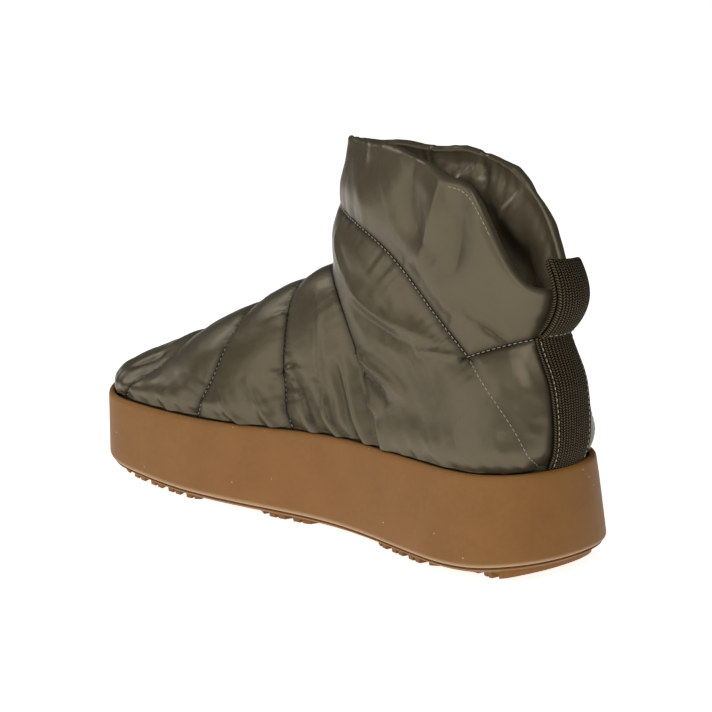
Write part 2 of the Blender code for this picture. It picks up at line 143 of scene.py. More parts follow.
def through(points: Sequence[tuple[float, float]], count: int) -> tuple[Array, Array]:
    """So many points of a smooth line through a few, and their distances along it."""
    given = np.array(points, float)
    knots = run_along(given)
    at = np.linspace(0, knots[-1], count)
    return np.stack([natural_spline(knots, given[:, axis], at) for axis in range(2)], axis=1), at


def monotone(knots: Array, values: Array, at: Array) -> Array:
    """A cubic through the values that never overshoots them, so a level stretch stays level.

    Args:
        knots: Increasing places of the values.
        values: One value for each knot.
        at: Places to read.

    Returns:
        The curve's values at those places.
    """
    knots, values, at = (np.asarray(a, float) for a in (knots, values, at))
    steps = np.diff(knots)
    slopes = np.diff(values) / steps
    tangents = np.zeros_like(values)
    tangents[0] = slopes[0]
    tangents[-1] = slopes[-1]
    before = slopes[:-1]
    after = slopes[1:]
    same_way = before * after > 0
    weight_a = 2 * steps[1:] + steps[:-1]
    weight_b = steps[1:] + 2 * steps[:-1]
    safe_a = np.where(same_way, before, 1.0)
    safe_b = np.where(same_way, after, 1.0)
    mean = (weight_a + weight_b) / (weight_a / safe_a + weight_b / safe_b)
    tangents[1:-1] = np.where(same_way, mean, 0.0)
    index = np.clip(np.searchsorted(knots, at, side="right") - 1, 0, len(steps) - 1)
    step = steps[index]
    t = (at - knots[index]) / step
    return (
        values[index] * (1 + 2 * t) * (1 - t) ** 2
        + tangents[index] * step * t * (1 - t) ** 2
        + values[index + 1] * t**2 * (3 - 2 * t)
        + tangents[index + 1] * step * t**2 * (t - 1)
    )


def rounded_end(distance: Array, length: Array, power: Array) -> Array:
    """Share of the full width at a distance from a rounded end of this length."""
    reach = np.clip(1 - distance / length, 0, 1)
    return (1 - reach**power) ** (1 / power)


def ripple(along: Array, seed: int, shortest: float, longest: float, count: int = 6) -> Array:
    """An even, repeatable unevenness along a line.

    Args:
        along: Distances along the line.
        seed: Picks one ripple out of many.
        shortest: Shortest wave in it.
        longest: Longest wave in it.
        count: How many waves are added up.

    Returns:
        Values of about -1 to 1.
    """
    chance = np.random.default_rng(seed)
    waves = chance.uniform(shortest, longest, count)
    turns = chance.uniform(0, 2 * math.pi, count)
    total = sum(np.sin(2 * math.pi * along / wave + turn) for wave, turn in zip(waves, turns))
    return total / (count / 2)


def cloudiness(points: Array, size: float, octaves: int, seed: float) -> Array:
    """Soft noise over points in space.

    Args:
        points: Points in millimetres, with the axes last.
        size: Size of the largest clouds.
        octaves: How many finer layers are added.
        seed: Moves the noise, so that two calls differ.

    Returns:
        Values of about -1 to 1, one for each point.
    """
    flat = points.reshape(-1, 3) / size + seed
    values = [noise.fractal(Vector(p), CLOUD_FALL, CLOUD_STEP, octaves) for p in flat]
    return np.array(values).reshape(points.shape[:-1])


@dataclass(frozen=True)
class SoleSection:
    """One station of the sole: half widths of the rim, heights, and how far the wall flares at its foot."""

    along: float
    medial: float
    lateral: float
    rim: float
    bed: float
    edge: float
    ground: float
    flare: float


@dataclass
class SoleForm:
    """The outline and the heights that all pieces of the sole share."""

    length: float = 264.0
    heel_round: float = 48.0
    toe_round: float = 60.0
    heel_power: float = 2.2
    toe_power: float = 2.1
    sections: tuple[SoleSection, ...] = (
        SoleSection(0.0, 42.0, 41.0, 48.6, 37.7, 11.2, 5.8, 5.4),
        SoleSection(28.0, 38.5, 38.5, 46.6, 37.0, 7.0, 0.0, 5.0),
        SoleSection(62.0, 35.5, 38.0, 45.6, 36.1, 5.5, 0.0, 3.2),
        SoleSection(112.0, 33.0, 40.0, 44.6, 34.8, 5.2, 0.0, 1.4),
        SoleSection(154.0, 41.0, 46.0, 42.0, 33.8, 5.2, 0.0, 0.8),
        SoleSection(190.0, 47.0, 50.5, 40.4, 32.8, 5.2, 0.0, 0.6),
        SoleSection(224.0, 50.5, 49.5, 40.0, 32.0, 6.6, 1.4, 0.2),
        SoleSection(247.0, 57.0, 43.5, 40.4, 31.4, 8.6, 3.4, 0.0),
        SoleSection(264.0, 58.0, 42.0, 41.4, 30.9, 12.0, 7.0, -0.6),
    )

    def level(self, name: str, along: Array) -> Array:
        """A named height, or the flare, at distances from the heel."""
        return monotone(column(self.sections, "along"), column(self.sections, name), along)

    def height_of(self, name: str, lift: float = 0.0) -> Height:
        """A named height, lifted, as a function of the distance from the heel."""
        return lambda along: self.level(name, along) + lift

    def between(self, low: str, high: str, share: float) -> Height:
        """A height at a share of the way from one named height to another."""
        return lambda along: self.level(low, along) * (1 - share) + self.level(high, along) * share

    def halves(self, along: Array) -> tuple[Array, Array]:
        """Medial and lateral half widths before the ends are rounded."""
        knots = column(self.sections, "along")
        medial = natural_spline(knots, column(self.sections, "medial"), along)
        lateral = natural_spline(knots, column(self.sections, "lateral"), along)
        return medial, lateral

    def ring(self, inset: float | Height, height: Height, flare_share: float, stations: int) -> Array:
        """A closed ring round the sole: heel, medial side, toe, lateral side.

        Args:
            inset: How far the ring stands in from the rim's outline, one number or a function.
            height: Gives the ring's height along the sole.
            flare_share: Share of the wall's flare that the ring stands out by.
            stations: Steps from the heel to the toe.

        Returns:
            The ring's points, two for each station less the two tips.
        """
        x = (1 - np.cos(np.linspace(0, math.pi, stations + 1))) / 2 * self.length
        medial, lateral = self.halves(x)
        taper = rounded_end(x, self.heel_round, self.heel_power)
        taper = taper * rounded_end(self.length - x, self.toe_round, self.toe_power)
        centre = (medial - lateral) / 2
        half = (medial + lateral) / 2 * taper
        back = slice(-2, 0, -1)
        ring_x = np.concatenate([x, x[back]])
        ring_y = np.concatenate([centre + half, (centre - half)[back]])
        run_x = np.roll(ring_x, -1) - np.roll(ring_x, 1)
        run_y = np.roll(ring_y, -1) - np.roll(ring_y, 1)
        length = np.hypot(run_x, run_y)
        moved_in = inset(ring_x) if callable(inset) else inset
        outward = flare_share * self.level("flare", ring_x) - moved_in
        points = [ring_x - outward * run_y / length, ring_y + outward * run_x / length, height(ring_x)]
        return np.stack(points, axis=1)


@dataclass(frozen=True)
class UpperSection:
    """One level of the upper, from the feather edge to the collar."""

    front_x: float
    front_z: float
    rear_x: float
    rear_z: float
    fullness: float
    nose: float
    point: float
    tail: float
    ankle: float
    notch: float
    ridge: float
    cant: float


@dataclass(frozen=True)
class EdgeWave:
    """A rise or dip of the collar's edge on one side, at a share of the way from the heel to the front."""

    side: Side
    height: float
    at: float
    width: float

    def rise(self, around: Array, share: Array) -> Array:
        """How far the edge is lifted."""
        on_side = np.maximum(np.sin(around) * self.side.value, 0)
        return self.height * on_side * bell(share - self.at, self.width)


@dataclass
class UpperForm:
    """The upper's smooth outer form, as a fan of levels that turn from the sole up to the collar."""

    sole: SoleForm
    inset: float = 4.0
    ankle_medial: float = 38.0
    ankle_lateral: float = 31.5
    tail_power: float = 2.0
    notch_length: tuple[float, float] = (0.18, 0.20)
    notch_power: tuple[float, float] = (2.2, 1.6)
    ridge_power: float = 3.0
    back_power: float = 6.0
    wave_power: float = 4.0
    heel_turn: float = 1.1
    heel_steps: int = 221
    normal_step: float = 0.02
    waves: tuple[EdgeWave, ...] = (
        EdgeWave(Side.MEDIAL, 2.6, 0.67, 0.16),
        EdgeWave(Side.MEDIAL, -5.0, 0.34, 0.085),
        EdgeWave(Side.LATERAL, 1.4, 0.80, 0.06),
        EdgeWave(Side.LATERAL, 2.4, 0.53, 0.11),
    )
    sections: tuple[UpperSection, ...] = (
        UpperSection(258.8, 31.5, 4.6, 38.0, 0.985, 58, 2.20, 42, 0.00, 0.00, 8.2, 0.0),
        UpperSection(259.0, 40.8, 4.2, 48.5, 0.993, 58, 2.20, 42, 0.00, 0.00, 8.2, 0.0),
        UpperSection(259.5, 44.8, 2.4, 55.0, 1.020, 60, 2.25, 36, 0.00, 0.00, 8.0, 0.0),
        UpperSection(255.5, 48.8, 1.6, 61.0, 1.005, 66, 2.10, 34, 0.05, 0.00, 8.0, 0.0),
        UpperSection(248.0, 53.2, 1.5, 67.0, 0.975, 72, 2.10, 36, 0.10, 0.00, 7.5, 0.0),
        UpperSection(236.5, 59.2, 1.8, 72.5, 0.945, 77, 2.10, 38, 0.20, 0.00, 7.0, 0.0),
        UpperSection(220.5, 68.0, 2.3, 78.0, 0.910, 80, 2.10, 41, 0.30, 0.00, 6.0, 0.0),
        UpperSection(200.5, 79.0, 3.3, 84.0, 0.870, 80, 2.10, 44, 0.42, 0.10, 5.0, 0.0),
        UpperSection(181.0, 90.0, 5.2, 89.5, 0.830, 76, 2.10, 50, 0.55, 0.15, 4.0, 0.0),
        UpperSection(162.5, 100.5, 7.4, 94.5, 0.790, 68, 2.10, 55, 0.68, 0.25, 3.5, 0.0),
        UpperSection(147.0, 109.0, 9.4, 99.5, 0.750, 58, 2.10, 57, 0.80, 0.35, 3.0, 0.0),
        UpperSection(136.0, 117.0, 10.4, 104.0, 0.715, 50, 2.05, 54, 0.90, 0.45, 2.5, 0.2),
        UpperSection(135.4, 128.0, 10.3, 108.5, 0.685, 46, 1.95, 48, 1.00, 0.60, 2.0, 0.4),
        UpperSection(135.6, 140.0, 10.0, 112.5, 0.660, 46, 1.80, 41, 1.00, 0.75, 2.0, 0.6),
        UpperSection(134.0, 152.0, 9.7, 116.0, 0.635, 50, 1.60, 35, 1.00, 0.88, 2.0, 0.8),
        UpperSection(130.8, 162.0, 9.4, 118.8, 0.615, 58, 1.40, 31, 1.00, 0.95, 2.0, 1.0),
        UpperSection(129.6, 171.0, 9.2, 121.0, 0.600, 68, 1.25, 28, 1.00, 1.00, 2.0, 1.2),
    )

    @property
    def top(self) -> float:
        """Number of the collar's level."""
        return len(self.sections) - 1.0

    def points(self, around: Array, level: Array) -> Array:
        """Points of the smooth form.

        Args:
            around: Angles from the toe line, the medial side first.
            level: Level numbers, from 0 at the feather edge.

        Returns:
            Points with the axes last.
        """
        numbers = np.arange(len(self.sections))
        names = UpperSection.__dataclass_fields__
        row = {name: natural_spline(numbers, column(self.sections, name), level) for name in names}
        share = (1 + np.cos(around)) / 2
        x = row["rear_x"] + (row["front_x"] - row["rear_x"]) * share
        medial, lateral = self.sole.halves(np.clip(x, 0, self.sole.length))
        ankle = np.clip(row["ankle"], 0, 1)
        medial = (medial - self.inset) * (1 - ankle) + self.ankle_medial * ankle
        lateral = (lateral - self.inset) * (1 - ankle) + self.ankle_lateral * ankle
        taper = rounded_end(row["front_x"] - x, row["nose"], row["point"])
        taper = taper * rounded_end(x - row["rear_x"], row["tail"], self.tail_power)
        centre = (medial - lateral) / 2 * (1 - (1 - share) ** self.back_power)
        front_medial, front_lateral = self.sole.halves(np.clip(row["front_x"], 0, self.sole.length))
        front_centre = (front_medial - front_lateral) / 2 * (1 - ankle)
        front_centre = front_centre + (self.ankle_medial - self.ankle_lateral) / 2 * ankle
        centre = centre + (row["ridge"] - front_centre) * share**self.ridge_power
        half = (medial + lateral) / 2 * row["fullness"] * taper
        on_medial = np.sin(around) >= 0
        side = np.where(on_medial, 1.0, -1.0)
        notch_length = np.where(on_medial, *self.notch_length)
        notch = 1 - np.exp(-((share / notch_length) ** np.where(on_medial, *self.notch_power)))
        rise = share + (notch - share) * np.clip(row["notch"], 0, 1)
        z = row["rear_z"] + (row["front_z"] - row["rear_z"]) * rise + row["cant"] * np.sin(around)
        waves = sum(wave.rise(around, share) for wave in self.waves)
        z = z + waves * np.clip(row["notch"], 0, 1) ** self.wave_power
        return np.stack([x, centre + side * half, z], axis=-1)

    def normals(self, around: Array, level: Array) -> Array:
        """Unit normals that point out of the smooth form."""
        step = self.normal_step
        ahead = self.points(around + step, level) - self.points(around - step, level)
        above = self.points(around, np.clip(level + step, 0, self.top))
        below = self.points(around, np.clip(level - step, 0, self.top))
        return unit(np.cross(ahead, above - below))

    def heel_strip(self, offsets: Array, level: float, lift: Array) -> Array:
        """Points across the back of the upper, lifted off its surface.

        Args:
            offsets: Distances from the centre of the heel, along the surface.
            level: Level of the row.
            lift: How far each point stands off the smooth form.

        Returns:
            One point for each offset.
        """
        around = math.pi + np.linspace(self.heel_turn, -self.heel_turn, self.heel_steps)
        levels = np.full(around.shape, level)
        line = self.points(around, levels)
        outward = self.normals(around, levels)
        run = run_along(line)
        run = run - run[len(run) // 2]
        lifted = read_along(offsets, run, outward) * np.asarray(lift)[..., None]
        return read_along(offsets, run, line) + lifted


class Bench:
    """Blender's modelling tools, used one step at a time as by hand."""

    @staticmethod
    def clear() -> None:
        """Leaves edit mode and deselects everything."""
        if bpy.context.object is not None and bpy.context.object.mode != "OBJECT":
            bpy.ops.object.mode_set(mode="OBJECT")
        bpy.ops.object.select_all(action="DESELECT")

    @staticmethod
    def hold(piece: Piece) -> None:
        """Makes a piece the only selected and active one."""
        Bench.clear()
        piece.select_set(True)
        bpy.context.view_layer.objects.active = piece

    @staticmethod
    def taken(name: str) -> Piece:
        """Names the primitive that was just added."""
        piece = bpy.context.object
        piece.name = name
        piece.data.name = name
        return piece

    @staticmethod
    def coordinates(piece: Piece) -> Array:
        """The vertices' coordinates as an array."""
        flat = np.zeros(len(piece.data.vertices) * 3)
        piece.data.vertices.foreach_get("co", flat)
        return flat.reshape(-1, 3)

    @staticmethod
    def place(piece: Piece, points: Array) -> None:
        """Puts the vertices at bench points, in millimetres."""
        placed = (points.reshape(-1, 3) + HEEL_TO_FRAME) * MM
        piece.data.vertices.foreach_set("co", placed.ravel())
        piece.data.update()

    @staticmethod
    def sheet(name: str, points: Array) -> Piece:
        """A grid primitive moved to rows of points, its last column closed onto the first.

        Args:
            name: Name of the piece.
            points: Points in rows and columns, with the axes last.

        Returns:
            The piece, whose vertices keep the order of the points.
        """
        points = np.concatenate([points, points[:, :1]], axis=1)
        rows, columns = points.shape[:2]
        Bench.clear()
        bpy.ops.mesh.primitive_grid_add(x_subdivisions=columns - 1, y_subdivisions=rows - 1, size=2.0)
        piece = Bench.taken(name)
        flat = Bench.coordinates(piece)
        across = np.rint((flat[:, 0] + 1) / 2 * (columns - 1)).astype(int)
        up = np.rint((flat[:, 1] + 1) / 2 * (rows - 1)).astype(int)
        Bench.place(piece, points[up, across])
        return piece

    @staticmethod
    def mark(piece: Piece, name: str, values: Array) -> None:
        """Keeps a number for each vertex, for the finish to read."""
        layer = piece.data.attributes.new(name, "FLOAT", "POINT")
        layer.data.foreach_set("value", np.asarray(values, np.float32).ravel())

    @staticmethod
    def weld(piece: Piece, distance: float = 0.002) -> None:
        """Merges vertices that lie on each other and turns the faces outwards."""
        Bench.hold(piece)
        bpy.ops.object.mode_set(mode="EDIT")
        bpy.ops.mesh.select_all(action="SELECT")
        bpy.ops.mesh.remove_doubles(threshold=distance * MM)
        bpy.ops.mesh.normals_make_consistent(inside=False)
        bpy.ops.object.mode_set(mode="OBJECT")

    @staticmethod
    def close_ends(piece: Piece, tool: Callable[[], object]) -> None:
        """Closes a piece's open ends with a mesh tool and turns the faces outwards."""
        Bench.hold(piece)
        bpy.ops.object.mode_set(mode="EDIT")
        bpy.ops.mesh.select_all(action="DESELECT")
        bpy.ops.mesh.select_non_manifold()
        tool()
        bpy.ops.mesh.select_all(action="SELECT")
        bpy.ops.mesh.normals_make_consistent(inside=False)
        bpy.ops.object.mode_set(mode="OBJECT")

    @staticmethod
    def smooth(piece: Piece, degrees: float) -> None:
        """Shades a piece smooth, except at edges sharper than an angle."""
        Bench.hold(piece)
        bpy.ops.object.shade_smooth_by_angle(angle=math.radians(degrees))

    @staticmethod
    def apply(piece: Piece, modifier: bpy.types.Modifier) -> None:
        """Applies a modifier to a piece."""
        Bench.hold(piece)
        bpy.ops.object.modifier_apply(modifier=modifier.name)

    @staticmethod
    def loft(name: str, rings: Sequence[Array]) -> Piece:
        """A closed solid: a circle drawn from ring to ring by extrusion, with rungs across both ends.

        Args:
            name: Name of the piece.
            rings: Closed rings of equal length that start at a tip and have another opposite to it.

        Returns:
            The piece.
        """
        count = len(rings[0])
        Bench.clear()
        bpy.ops.mesh.primitive_circle_add(vertices=count, radius=1.0, fill_type="NOTHING")
        piece = Bench.taken(name)
        bpy.ops.object.mode_set(mode="EDIT")
        bm = bmesh.from_edit_mesh(piece.data)
        bm.verts.ensure_lookup_table()
        ring = list(bm.verts)
        Bench._move(ring, rings[0])
        Bench._rungs(bm, ring)
        for points in rings[1:]:
            ring = Bench._extruded(piece, ring)
            bm = bmesh.from_edit_mesh(piece.data)
            Bench._move(ring, points)
        Bench._rungs(bm, ring)
        bmesh.update_edit_mesh(piece.data)
        bpy.ops.mesh.select_all(action="SELECT")
        bpy.ops.mesh.normals_make_consistent(inside=False)
        bpy.ops.object.mode_set(mode="OBJECT")
        return piece

    @staticmethod
    def _move(ring: Sequence[Vert], points: Array) -> None:
        """Puts a ring's vertices at bench points."""
        for vertex, point in zip(ring, (points + HEEL_TO_FRAME) * MM):
            vertex.co = point

    @staticmethod
    def _extruded(piece: Piece, ring: Sequence[Vert]) -> list[Vert]:
        """Extrudes a ring's edges and returns the new ring in the same order."""
        bm = bmesh.from_edit_mesh(piece.data)
        bpy.ops.mesh.select_all(action="DESELECT")
        old = {vertex.index: place for place, vertex in enumerate(ring)}
        for vertex, following in zip(ring, list(ring[1:]) + [ring[0]]):
            bm.edges.get((vertex, following)).select_set(True)
        bmesh.update_edit_mesh(piece.data)
        bpy.ops.mesh.extrude_edges_move()
        bm = bmesh.from_edit_mesh(piece.data)
        bm.verts.ensure_lookup_table()
        bm.verts.index_update()
        made: list[Vert] = [None] * len(old)
        for vertex in bm.verts:
            if not vertex.select:
                continue
            for edge in vertex.link_edges:
                other = edge.other_vert(vertex)
                if not other.select and other.index in old:
                    made[old[other.index]] = vertex
        return made

    @staticmethod
    def _rungs(bm: bmesh.types.BMesh, ring: Sequence[Vert]) -> None:
        """Closes a ring with faces that reach from its medial to its lateral side."""
        half = len(ring) // 2
        medial = list(ring[: half + 1])
        lateral = [ring[0]] + list(ring[:half:-1]) + [ring[half]]
        for i in range(half):
            corners = (medial[i], medial[i + 1], lateral[i + 1], lateral[i])
            bm.faces.new(tuple(dict.fromkeys(corners)))
        bm.verts.index_update()

    @staticmethod
    def copies(name: str, pattern: Piece, frames: Array) -> Piece:
        """Many copies of a small pattern as one mesh.

        Args:
            name: Name of the piece.
            pattern: The small piece, modelled round the origin in millimetres. It is removed.
            frames: One row for each copy: its place, and its three axes, as 4 by 3 numbers.

        Returns:
            The joined piece.
        """
        shape = Bench.coordinates(pattern)
        faces = [tuple(face.vertices) for face in pattern.data.polygons]
        bpy.data.objects.remove(pattern)
        places = frames[:, None, 0] + np.einsum("vk,ckj->cvj", shape, frames[:, 1:])
        corners = [tuple(v + len(shape) * c for v in face) for c in range(len(frames)) for face in faces]
        mesh = bpy.data.meshes.new(name)
        mesh.from_pydata(((places.reshape(-1, 3) + HEEL_TO_FRAME) * MM).tolist(), [], corners)
        piece = bpy.data.objects.new(name, mesh)
        bpy.context.scene.collection.objects.link(piece)
        return piece


class Amount:
    """A number in a shader, which sums and comparisons turn into Math nodes."""

    def __init__(self, tree: bpy.types.NodeTree, socket: bpy.types.NodeSocket) -> None:
        """Wraps a socket of a node tree."""
        self.tree = tree
        self.socket = socket

    def _math(self, operation: str, *values: "Amount | float") -> "Amount":
        """Adds one Math node for an operation on values."""
        node = self.tree.nodes.new("ShaderNodeMath")
        node.operation = operation
        for socket, value in zip(node.inputs, values):
            if isinstance(value, Amount):
                self.tree.links.new(value.socket, socket)
            else:
                socket.default_value = value
        return Amount(self.tree, node.outputs[0])

    def __add__(self, other: "Amount | float") -> "Amount":
        """This plus another."""
        return self._math("ADD", self, other)

    def __sub__(self, other: "Amount | float") -> "Amount":
        """This less another."""
        return self._math("SUBTRACT", self, other)

    def __rsub__(self, other: float) -> "Amount":
        """A number less this."""
        return self._math("SUBTRACT", other, self)

    def __mul__(self, other: "Amount | float") -> "Amount":
        """This times another."""
        return self._math("MULTIPLY", self, other)

    def __truediv__(self, other: "Amount | float") -> "Amount":
        """This over another."""
        return self._math("DIVIDE", self, other)

    def __lt__(self, other: "Amount | float") -> "Amount":
        """One where this is smaller, else nought."""
        return self._math("LESS_THAN", self, other)

    __radd__ = __add__
    __rmul__ = __mul__

    def kept(self) -> "Amount":
        """This, kept between nought and one."""
        return self._math("MINIMUM", self._math("MAXIMUM", self, 0.0), 1.0)


class Colour(NamedTuple):
    """A colour as it looks on a screen, from 0 to 255."""

    red: float
    green: float
    blue: float

    def linear(self) -> tuple[float, float, float, float]:
        """The colour as light, for a shader."""
        parts = [part / 255 for part in self]
        lit = [p / 12.92 if p <= 0.04045 else ((p + 0.055) / 1.055) ** 2.4 for p in parts]
        return (*lit, 1.0)


class Paint:
    """One material and the nodes in it."""

    def __init__(self, name: str) -> None:
        """Starts a material with a plain Principled shader."""
        self.material = bpy.data.materials.new(name)
        self.material.use_nodes = True
        self.tree = self.material.node_tree
        self.shader = self.tree.nodes["Principled BSDF"]
        self.place = self.add("ShaderNodeTexCoord", output="Object")

    def add(
        self,
        kind: str,
        settings: dict[str, object] | None = None,
        inputs: dict[str, object] | None = None,
        output: str | int = 0,
    ) -> Amount:
        """Adds any node.

        Args:
            kind: The node's type.
            settings: Its own settings, which are set first.
            inputs: Values or links of its sockets, by name or number.
            output: The socket that is handed back.

        Returns:
            That output, ready for sums and links.
        """
        node = self.tree.nodes.new(kind)
        for name, value in (settings or {}).items():
            setattr(node, name, value)
        for name, value in (inputs or {}).items():
            self._feed(node.inputs[name], value)
        return Amount(self.tree, node.outputs[output])

    def _feed(self, socket: bpy.types.NodeSocket, value: object) -> None:
        """Links or sets one socket."""
        if isinstance(value, Amount):
            self.tree.links.new(value.socket, socket)
        elif isinstance(value, Colour):
            socket.default_value = value.linear()
        else:
            socket.default_value = value

    def clouds(self, scale: float, detail: float) -> Amount:
        """Soft noise of so many clouds in a metre."""
        inputs = {"Vector": self.place, "Scale": scale, "Detail": detail}
        return self.add("ShaderNodeTexNoise", inputs=inputs)

    def mixed(self, share: Amount | float, low: Amount | Colour, high: Amount | Colour) -> Amount:
        """A colour between two, by a share."""
        settings = {"data_type": "RGBA"}
        return self.add("ShaderNodeMix", settings, {0: share, 6: low, 7: high}, output=2)

    def mark(self, name: str) -> Amount:
        """A number that a mesh keeps for each vertex."""
        return self.add("ShaderNodeAttribute", {"attribute_name": name}, output="Fac")

    def bump(self, height: Amount, depth: float, under: Amount | None = None) -> Amount:
        """A normal that follows a height of so many millimetres."""
        inputs: dict[str, object] = {"Height": height, "Distance": depth * MM}
        if under is not None:
            inputs["Normal"] = under
        return self.add("ShaderNodeBump", inputs=inputs)

    def set(self, **sockets: object) -> None:
        """Feeds the shader's own sockets, named with underscores for spaces."""
        for name, value in sockets.items():
            self._feed(self.shader.inputs[name.replace("_", " ")], value)


@dataclass(frozen=True)
class SatinNylon:
    """Tight satin-faced nylon, whose gloss takes the cloth's own colour."""

    name: str = "satin_nylon"
    deep: Colour = Colour(91, 82, 63)
    bright: Colour = Colour(101, 92, 73)
    # seam: colour of the painted shade along the deeper seams and in closed folds
    seam: Colour = Colour(24, 20, 13)
    seam_width: float = 0.7
    # lining: the same satin painted lighter, as painted light on the dim inner face
    lining: Colour = Colour(124, 112, 90)
    roughness: float = 0.36
    uneven: float = 0.12
    gloss: float = 0.48
    lining_share: float = 0.8
    lining_dulling: float = 0.2
    specular: float = 0.3
    # seam_share: strength of the painted shadow line along the seams
    seam_share: float = 0.85
    mottle_cells: float = 38.0
    crinkle_cells: float = 170.0
    crinkle_depth: float = 0.20
    thread_cells: float = 2300.0
    thread_depth: float = 0.012

    def material(self) -> bpy.types.Material:
        """The finish, with painted shade where a seam pulls the cloth in or a fold closes; inside, the same
        satin is painted lighter as painted light, and is duller.
        """
        paint = Paint(self.name)
        mottle = paint.clouds(self.mottle_cells, 4.0)
        cloth = paint.mixed(mottle, self.deep, self.bright)
        inside = paint.mark("inside")
        # Painted light inside: the lining is the same satin, painted lighter
        cloth = paint.mixed(inside * self.lining_share, cloth, self.lining)
        # Painted shadow line along the deeper seams, and painted shade in seams and folds from the fold_shade
        # mark
        line = (1.0 - paint.mark("seam_mm") / self.seam_width).kept()
        cloth = paint.mixed((line * self.seam_share + paint.mark("fold_shade")).kept(), cloth, self.seam)
        crinkle = paint.bump(paint.clouds(self.crinkle_cells, 5.0), self.crinkle_depth)
        thread = paint.bump(paint.clouds(self.thread_cells, 1.0), self.thread_depth, crinkle)
        paint.set(Base_Color=cloth, Roughness=self.roughness + self.uneven * (mottle - 0.5), Normal=thread)
        gloss = self.gloss * (1.0 - self.lining_dulling * inside)
        paint.set(Metallic=gloss, Specular_IOR_Level=self.specular)
        return paint.material


@dataclass(frozen=True)
class GumRubber:
    """Matte moulded gum with fine mottling, a few pale specks, and painted light from the floor on faces that
    turn downwards.
    """

    name: str = "gum_rubber"
    deep: Colour = Colour(119, 79, 36)
    bright: Colour = Colour(146, 102, 54)
    speck: Colour = Colour(205, 178, 140)
    # Painted light from the white floor on faces that turn downwards
    bloom: Colour = Colour(214, 190, 158)
    bloom_share: float = 0.45
    bloom_start: float = -0.05
    bloom_gain: float = 1.5
    roughness: float = 0.55
    uneven: float = 0.12
    mottle_cells: float = 55.0
    fine_cells: float = 420.0
    fine_share: float = 0.3
    speck_cells: float = 240.0
    speck_share: float = 0.10
    speck_radius: float = 0.085
    speck_strength: float = 0.7
    specular: float = 0.25
    grain_cells: float = 900.0
    grain_depth: float = 0.05

    def material(self) -> bpy.types.Material:
        """The finish, with a faint moulded grain."""
        paint = Paint(self.name)
        coarse = paint.clouds(self.mottle_cells, 5.0) * (1.0 - self.fine_share)
        mottle = coarse + paint.clouds(self.fine_cells, 2.0) * self.fine_share
        gum = paint.mixed(mottle, self.deep, self.bright)
        cell = {"Vector": paint.place, "Scale": self.speck_cells}
        distance = paint.add("ShaderNodeTexVoronoi", inputs=cell, output="Distance")
        colour = paint.add("ShaderNodeTexVoronoi", inputs=cell, output="Color")
        chance = paint.add("ShaderNodeSeparateColor", inputs={"Color": colour})
        specks = (distance < self.speck_radius) * (chance < self.speck_share)
        gum = paint.mixed(specks * self.speck_strength, gum, self.speck)
        # Painted floor light: lighter where the face turns downwards
        facing = paint.add("ShaderNodeNewGeometry", output="Normal")
        upward = paint.add("ShaderNodeSeparateXYZ", inputs={"Vector": facing}, output="Z")
        below = ((self.bloom_start - upward) * self.bloom_gain).kept()
        gum = paint.mixed(below * self.bloom_share, gum, self.bloom)
        grain = paint.bump(paint.clouds(self.grain_cells, 3.0), self.grain_depth)
        paint.set(Base_Color=gum, Roughness=self.roughness + self.uneven * (mottle - 0.5), Normal=grain)
        paint.set(Specular_IOR_Level=self.specular)
        return paint.material


@dataclass(frozen=True)
class WovenWebbing:
    """Dark herringbone webbing, painted lighter on its raised yarns as painted highlight and darker between
    them as painted shade.
    """

    name: str = "woven_webbing"
    deep: Colour = Colour(12, 9, 4)
    bright: Colour = Colour(100, 88, 62)
    roughness: float = 0.85
    across: float = 1.4
    along: float = 1.08
    slant: float = 0.9
    bead_width: float = 0.9
    crown_start: float = 0.40
    crown_gain: float = 1.9
    fleck_cells: float = 600.0
    fleck_floor: float = 0.55
    fleck_gain: float = 0.9
    specular: float = 0.12
    relief_depth: float = 0.35

    def material(self) -> bpy.types.Material:
        """The finish, with painted highlight on the crowns of the weave and painted shade between them."""
        paint = Paint(self.name)
        crown = self.crowns(paint)
        fleck = paint.clouds(self.fleck_cells, 2.0)
        # Painted highlight on the crowns and painted shade in the gaps, broken up by random flecks
        lit = ((crown - self.crown_start) * self.crown_gain).kept()
        lit = (lit * (self.fleck_floor + self.fleck_gain * fleck)).kept()
        yarn = paint.mixed(lit, self.deep, self.bright)
        relief = paint.bump(crown, self.relief_depth)
        paint.set(Base_Color=yarn, Roughness=self.roughness, Normal=relief)
        paint.set(Specular_IOR_Level=self.specular)
        return paint.material

    def crowns(self, paint: Paint) -> Amount:
        """Heights of the yarns, from 0 to 1: columns of short slanting stitches that lean by turns."""

        def reckoned(operation: str, value: Amount, other: float = 0.0) -> Amount:
            """One step of arithmetic that has no sign of its own."""
            return paint.add("ShaderNodeMath", {"operation": operation}, {0: value, 1: other})

        columns = paint.mark("across_mm") / self.across
        column_number = reckoned("FLOOR", columns)
        aside = columns - column_number - 0.5
        lean = 1.0 - 2.0 * reckoned("FLOORED_MODULO", column_number, 2.0)
        rows = paint.mark("along_mm") / self.along + self.slant * aside * lean
        beads = reckoned("ABSOLUTE", reckoned("SINE", rows * math.pi))
        return (beads * reckoned("COSINE", aside * (self.bead_width * math.pi))).kept()


@dataclass(frozen=True)
class SewingThread:
    """Beige polyester thread."""

    name: str = "sewing_thread"
    deep: Colour = Colour(128, 116, 90)
    bright: Colour = Colour(196, 184, 156)
    roughness: float = 0.6
    twist_cells: float = 900.0

    def material(self) -> bpy.types.Material:
        """The finish, with the twist of the thread as light and dark."""
        paint = Paint(self.name)
        twist = paint.clouds(self.twist_cells, 2.0)
        paint.set(Base_Color=paint.mixed(twist, self.deep, self.bright), Roughness=self.roughness)
        return paint.material


